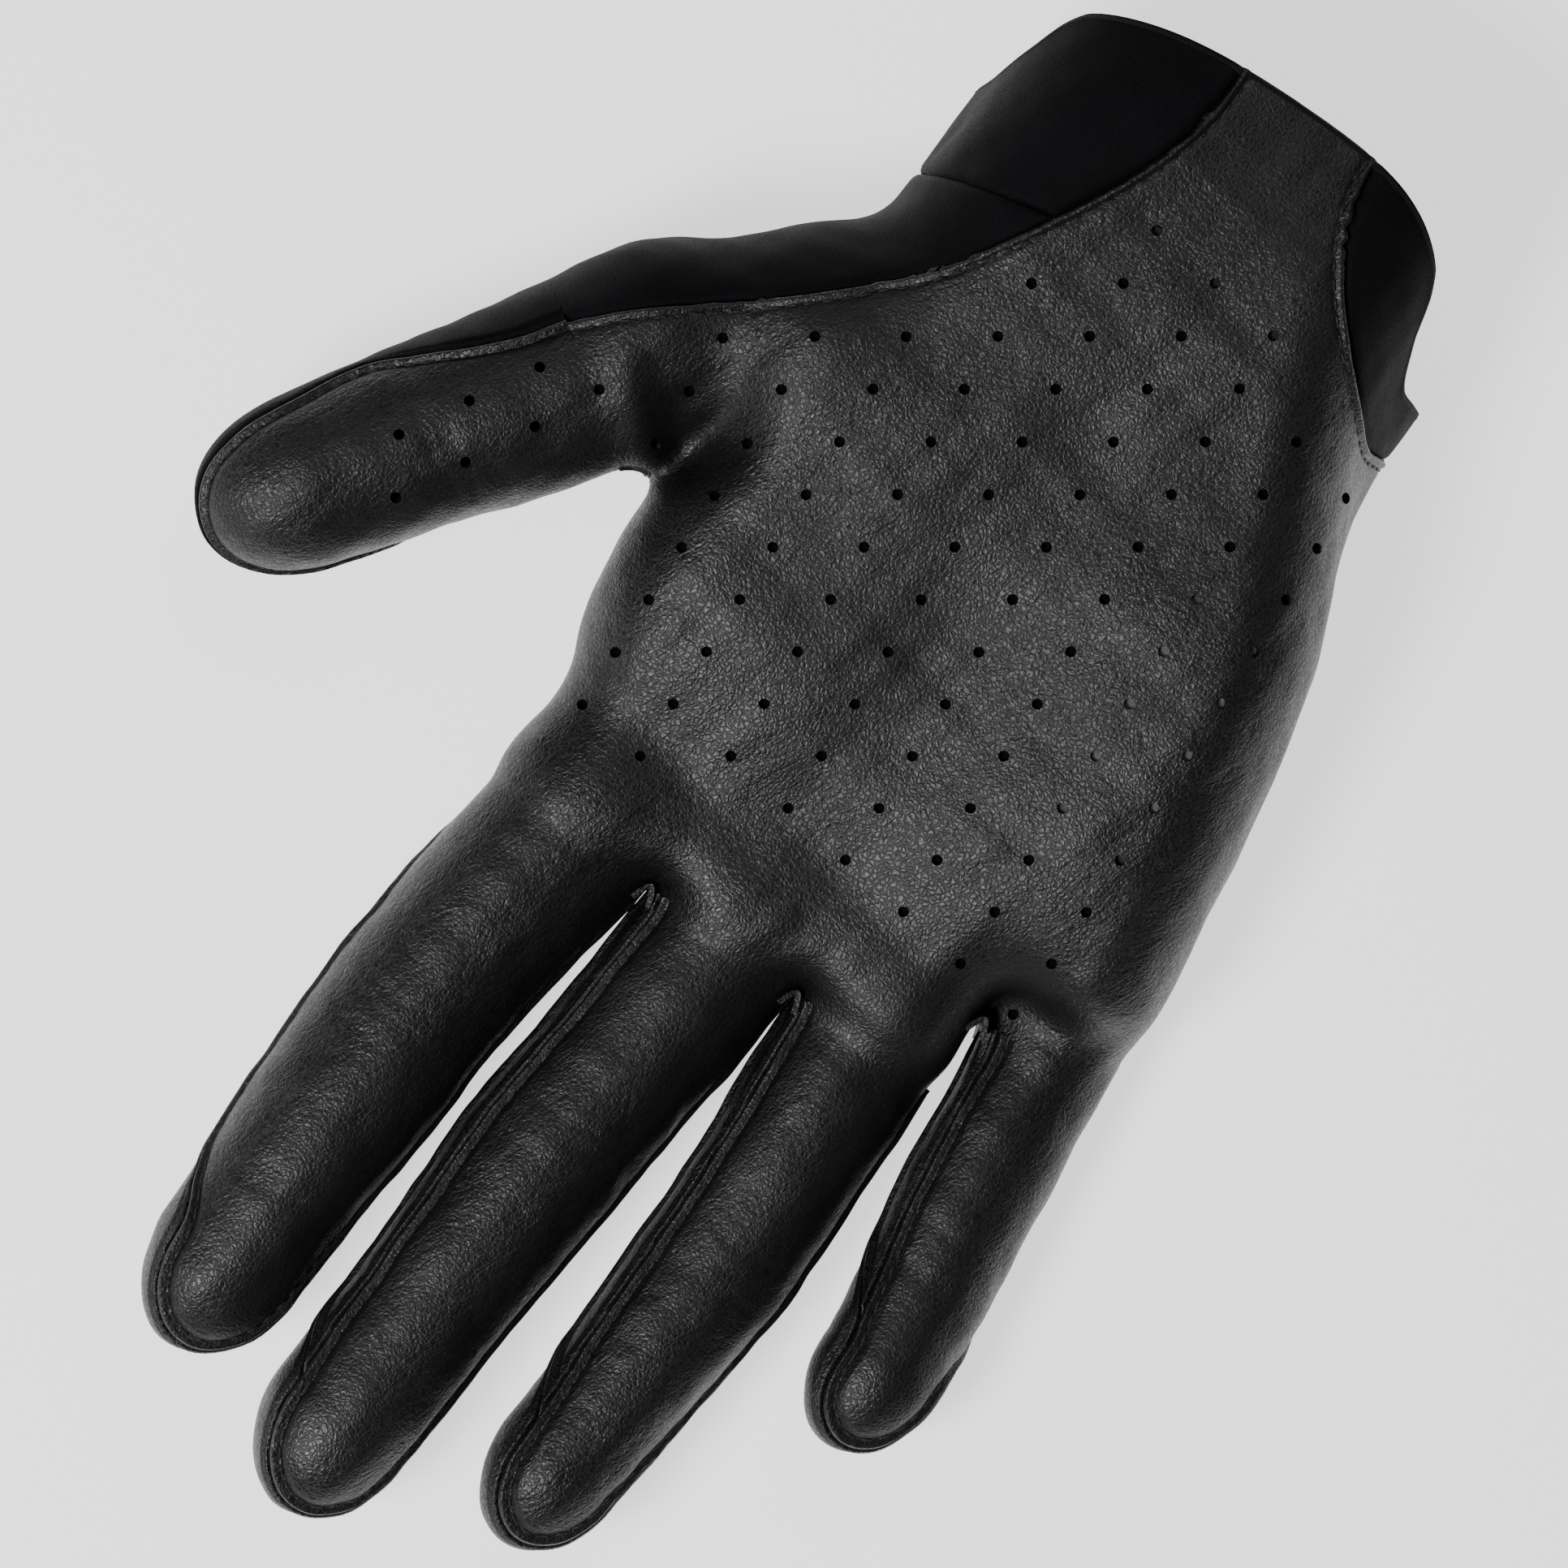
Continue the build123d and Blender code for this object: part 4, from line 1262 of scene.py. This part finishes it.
for name, upper, lift, wall, material, slot in (
    ("loop_patch", False, 0.85, 0.9, loops, "loop_tape"),
    ("wrist_elastic", True, -0.92, 0.6, elastic_cloth, "elastic"),
    ("size_label", True, -0.92, 0.45, label_cloth, "label"),
):
    box = cad_plan(name)
    piece, table, faces = patch(f"{name}_piece", lambda rows: plan_gap(rows, *box, 1.2), upper, lift, wall)
    dressed(piece, material, slot, replaced=[name])
    if name == "loop_patch":
        sew("loop_patch_stitches", level_lines(table, faces, plan_gap(table, *box, 1.2) + 1.3), pressed=True)

tab_box, base_box, hook_box = cad_plan("closure_tab"), cad_plan("tab_base"), cad_plan("hook_patch")
strap = [tab_box[0], np.array([base_box[1][0], *tab_box[1][1:]])]
hinge_x = joints["tab_peel"]["pos_m"][0] / MM
hinge = ("hand", "tab"), [tuple(np.array([hinge_x + reach, strap[0][1], 1.0]) * MM) for reach in (2.2, -2.2)]


def strap_gap(rows):
    """The strap: square at its sewn end, round at its free end."""
    low, high = strap
    free = plan_gap(rows, low, high + (20, 0, 0), 6.5)
    return np.maximum(free, plan_gap(rows, low, high, 0.8))


piece, table, faces = patch("closure_strap", strap_gap, False, 2.9, 1.1, 0.8)
dressed(piece, leather, "leather", *hinge, ["closure_tab"])
for row, distance in enumerate((1.6, 3.0)):
    sew(f"closure_strap_stitches_{row}", level_lines(table, faces, strap_gap(table) + distance), *hinge, True)
piece, _, _ = patch("tab_anchor", lambda rows: plan_gap(rows, *base_box, 0.6), False, 1.78, 1.75)
dressed(piece, leather, "leather", replaced=["tab_base"])
piece, _, _ = patch("hook_patch_piece", lambda rows: plan_gap(rows, *hook_box, 2), False, 1.78, 0.7)
dressed(piece, hooks, "hook_tape", "tab", replaced=["hook_patch"])

# The rim's rolled edge with the hem inside it, and the binding round the slit.
around_rim = level_lines(hand, hand_faces, past_rim(hand[:, BASE]) + 0.5)
rim_roll = rolled_band("cuff_rim_roll", around_rim, 1.0, 0.5, 0.5, 12)
hem = thick("cuff_hem_band", *clip(hand, hand_faces, -past_rim(hand[:, BASE]) - 5.0), wall=0.55, lift=-0.92)
table, faces = clip(whole_hand, whole_faces, whole_hand[:, BASE_Z] - 12)
around_slit = level_lines(table, faces, np.minimum(in_slit(table[:, BASE]) + 0.5, 20))
binding = rolled_band("slit_binding_roll", around_slit, 0.8, 1.35, 0.85, 14)
for piece, replaced in ((rim_roll, []), (hem, ["hem_tape"]), (binding, ["slit_binding"])):
    dressed(piece, tape, "edge_tape", replaced=replaced)

# The webs between the fingers: small folds that close the bottom of each gap.
WEB_ACROSS, WEB_UP = 15, 25
for one, other in crotches:
    name = f"web_{one.name}_{other.name}"
    low, high = cad_plan(name)
    foot = other.origin[1] + other.start
    across, tall = np.meshgrid(np.linspace(-1, 1, WEB_ACROSS), np.linspace(0, 1, WEB_UP), indexing="ij")
    z = low[2] + 0.6 + (high[2] - low[2] - 1.2) * tall
    y = foot - 1.6 + 2.6 * across**2 + 1.2 * (2 * tall - 1) ** 2
    x = parting(one, other, np.full(y.shape, foot)) + 1.5 * across
    front = np.stack([x, y, z], -1).reshape(-1, 3)
    a = (np.arange(WEB_ACROSS - 1)[:, None] * WEB_UP + np.arange(WEB_UP - 1)).ravel()
    b = a + WEB_UP
    quads = np.concatenate([np.stack([a, b, b + 1], 1), np.stack([a, b + 1, a + 1], 1)])
    normals = mesh_normals(front, quads)
    web = thick(f"{name}_fold", np.hstack([front, normals, front, normals]), quads, wall=0.7)
    dressed(web, fork_leather, "leather", replaced=[name])


# ---------------------------------------------------------------- studio

def linked(name, data):
    """A new object in the scene."""
    made = bpy.data.objects.new(name, data)
    bpy.context.scene.collection.objects.link(made)
    return made


def area_light(name, place, size, power):
    """A round lamp that faces the glove."""
    data = bpy.data.lights.new(name, "AREA")
    data.shape, data.size, data.energy = "DISK", size, power
    light = linked(name, data)
    light.location = place
    light.rotation_euler = (aim - place).to_track_quat("-Z", "Y").to_euler()


CAMERA_DISTANCE, FLOOR_REACH = 1.0, 3.0
WHITE = (1, 1, 1, 1)
aim = Vector([(a + b) / 2 for a, b in zip(*cad_box)]) + Vector((-0.0105, -0.0028, 0.0))
sight = Vector((0.03, 0.04, 1.0)).normalized()
right = Vector((-0.809, -0.588, 0))
right = (right - right.dot(sight) * sight).normalized()
over = sight.cross(right)
camera_data = bpy.data.cameras.new("camera")
camera_data.lens, camera_data.sensor_width = 186.0, 36.0
camera = linked("camera", camera_data)
facing = Matrix((right, over, sight)).transposed().to_4x4()
camera.matrix_world = Matrix.Translation(aim + sight * CAMERA_DISTANCE) @ facing
bpy.context.scene.camera = camera

floor_mesh = bpy.data.meshes.new("floor")
floor_corners = [(x * FLOOR_REACH, y * FLOOR_REACH, 0) for x, y in ((-1, -1), (1, -1), (1, 1), (-1, 1))]
floor_mesh.from_pydata(floor_corners, [], [(0, 1, 2, 3)])
floor = linked("floor", floor_mesh)
floor_paint = bpy.data.materials.new("floor_white")
floor_paint.use_nodes = True
fill(floor_paint.node_tree, floor_paint.node_tree.nodes["Principled BSDF"], {
    "Base Color": (0.9, 0.9, 0.9, 1), "Roughness": 0.9, "Emission Color": WHITE, "Emission Strength": 1.3,
})
floor_mesh.materials.append(floor_paint)

world = bpy.data.worlds.new("studio")
bpy.context.scene.world = world
world.use_nodes = True
fill(world.node_tree, world.node_tree.nodes["Background"], {"Color": WHITE, "Strength": 0.1})
area_light("key", aim - right * 0.34 - over * 0.2 + sight * 0.6, 0.26, 4.8)
area_light("fill", aim + right * 0.15 + over * 0.45 + sight * 0.8, 0.5, 0.9)
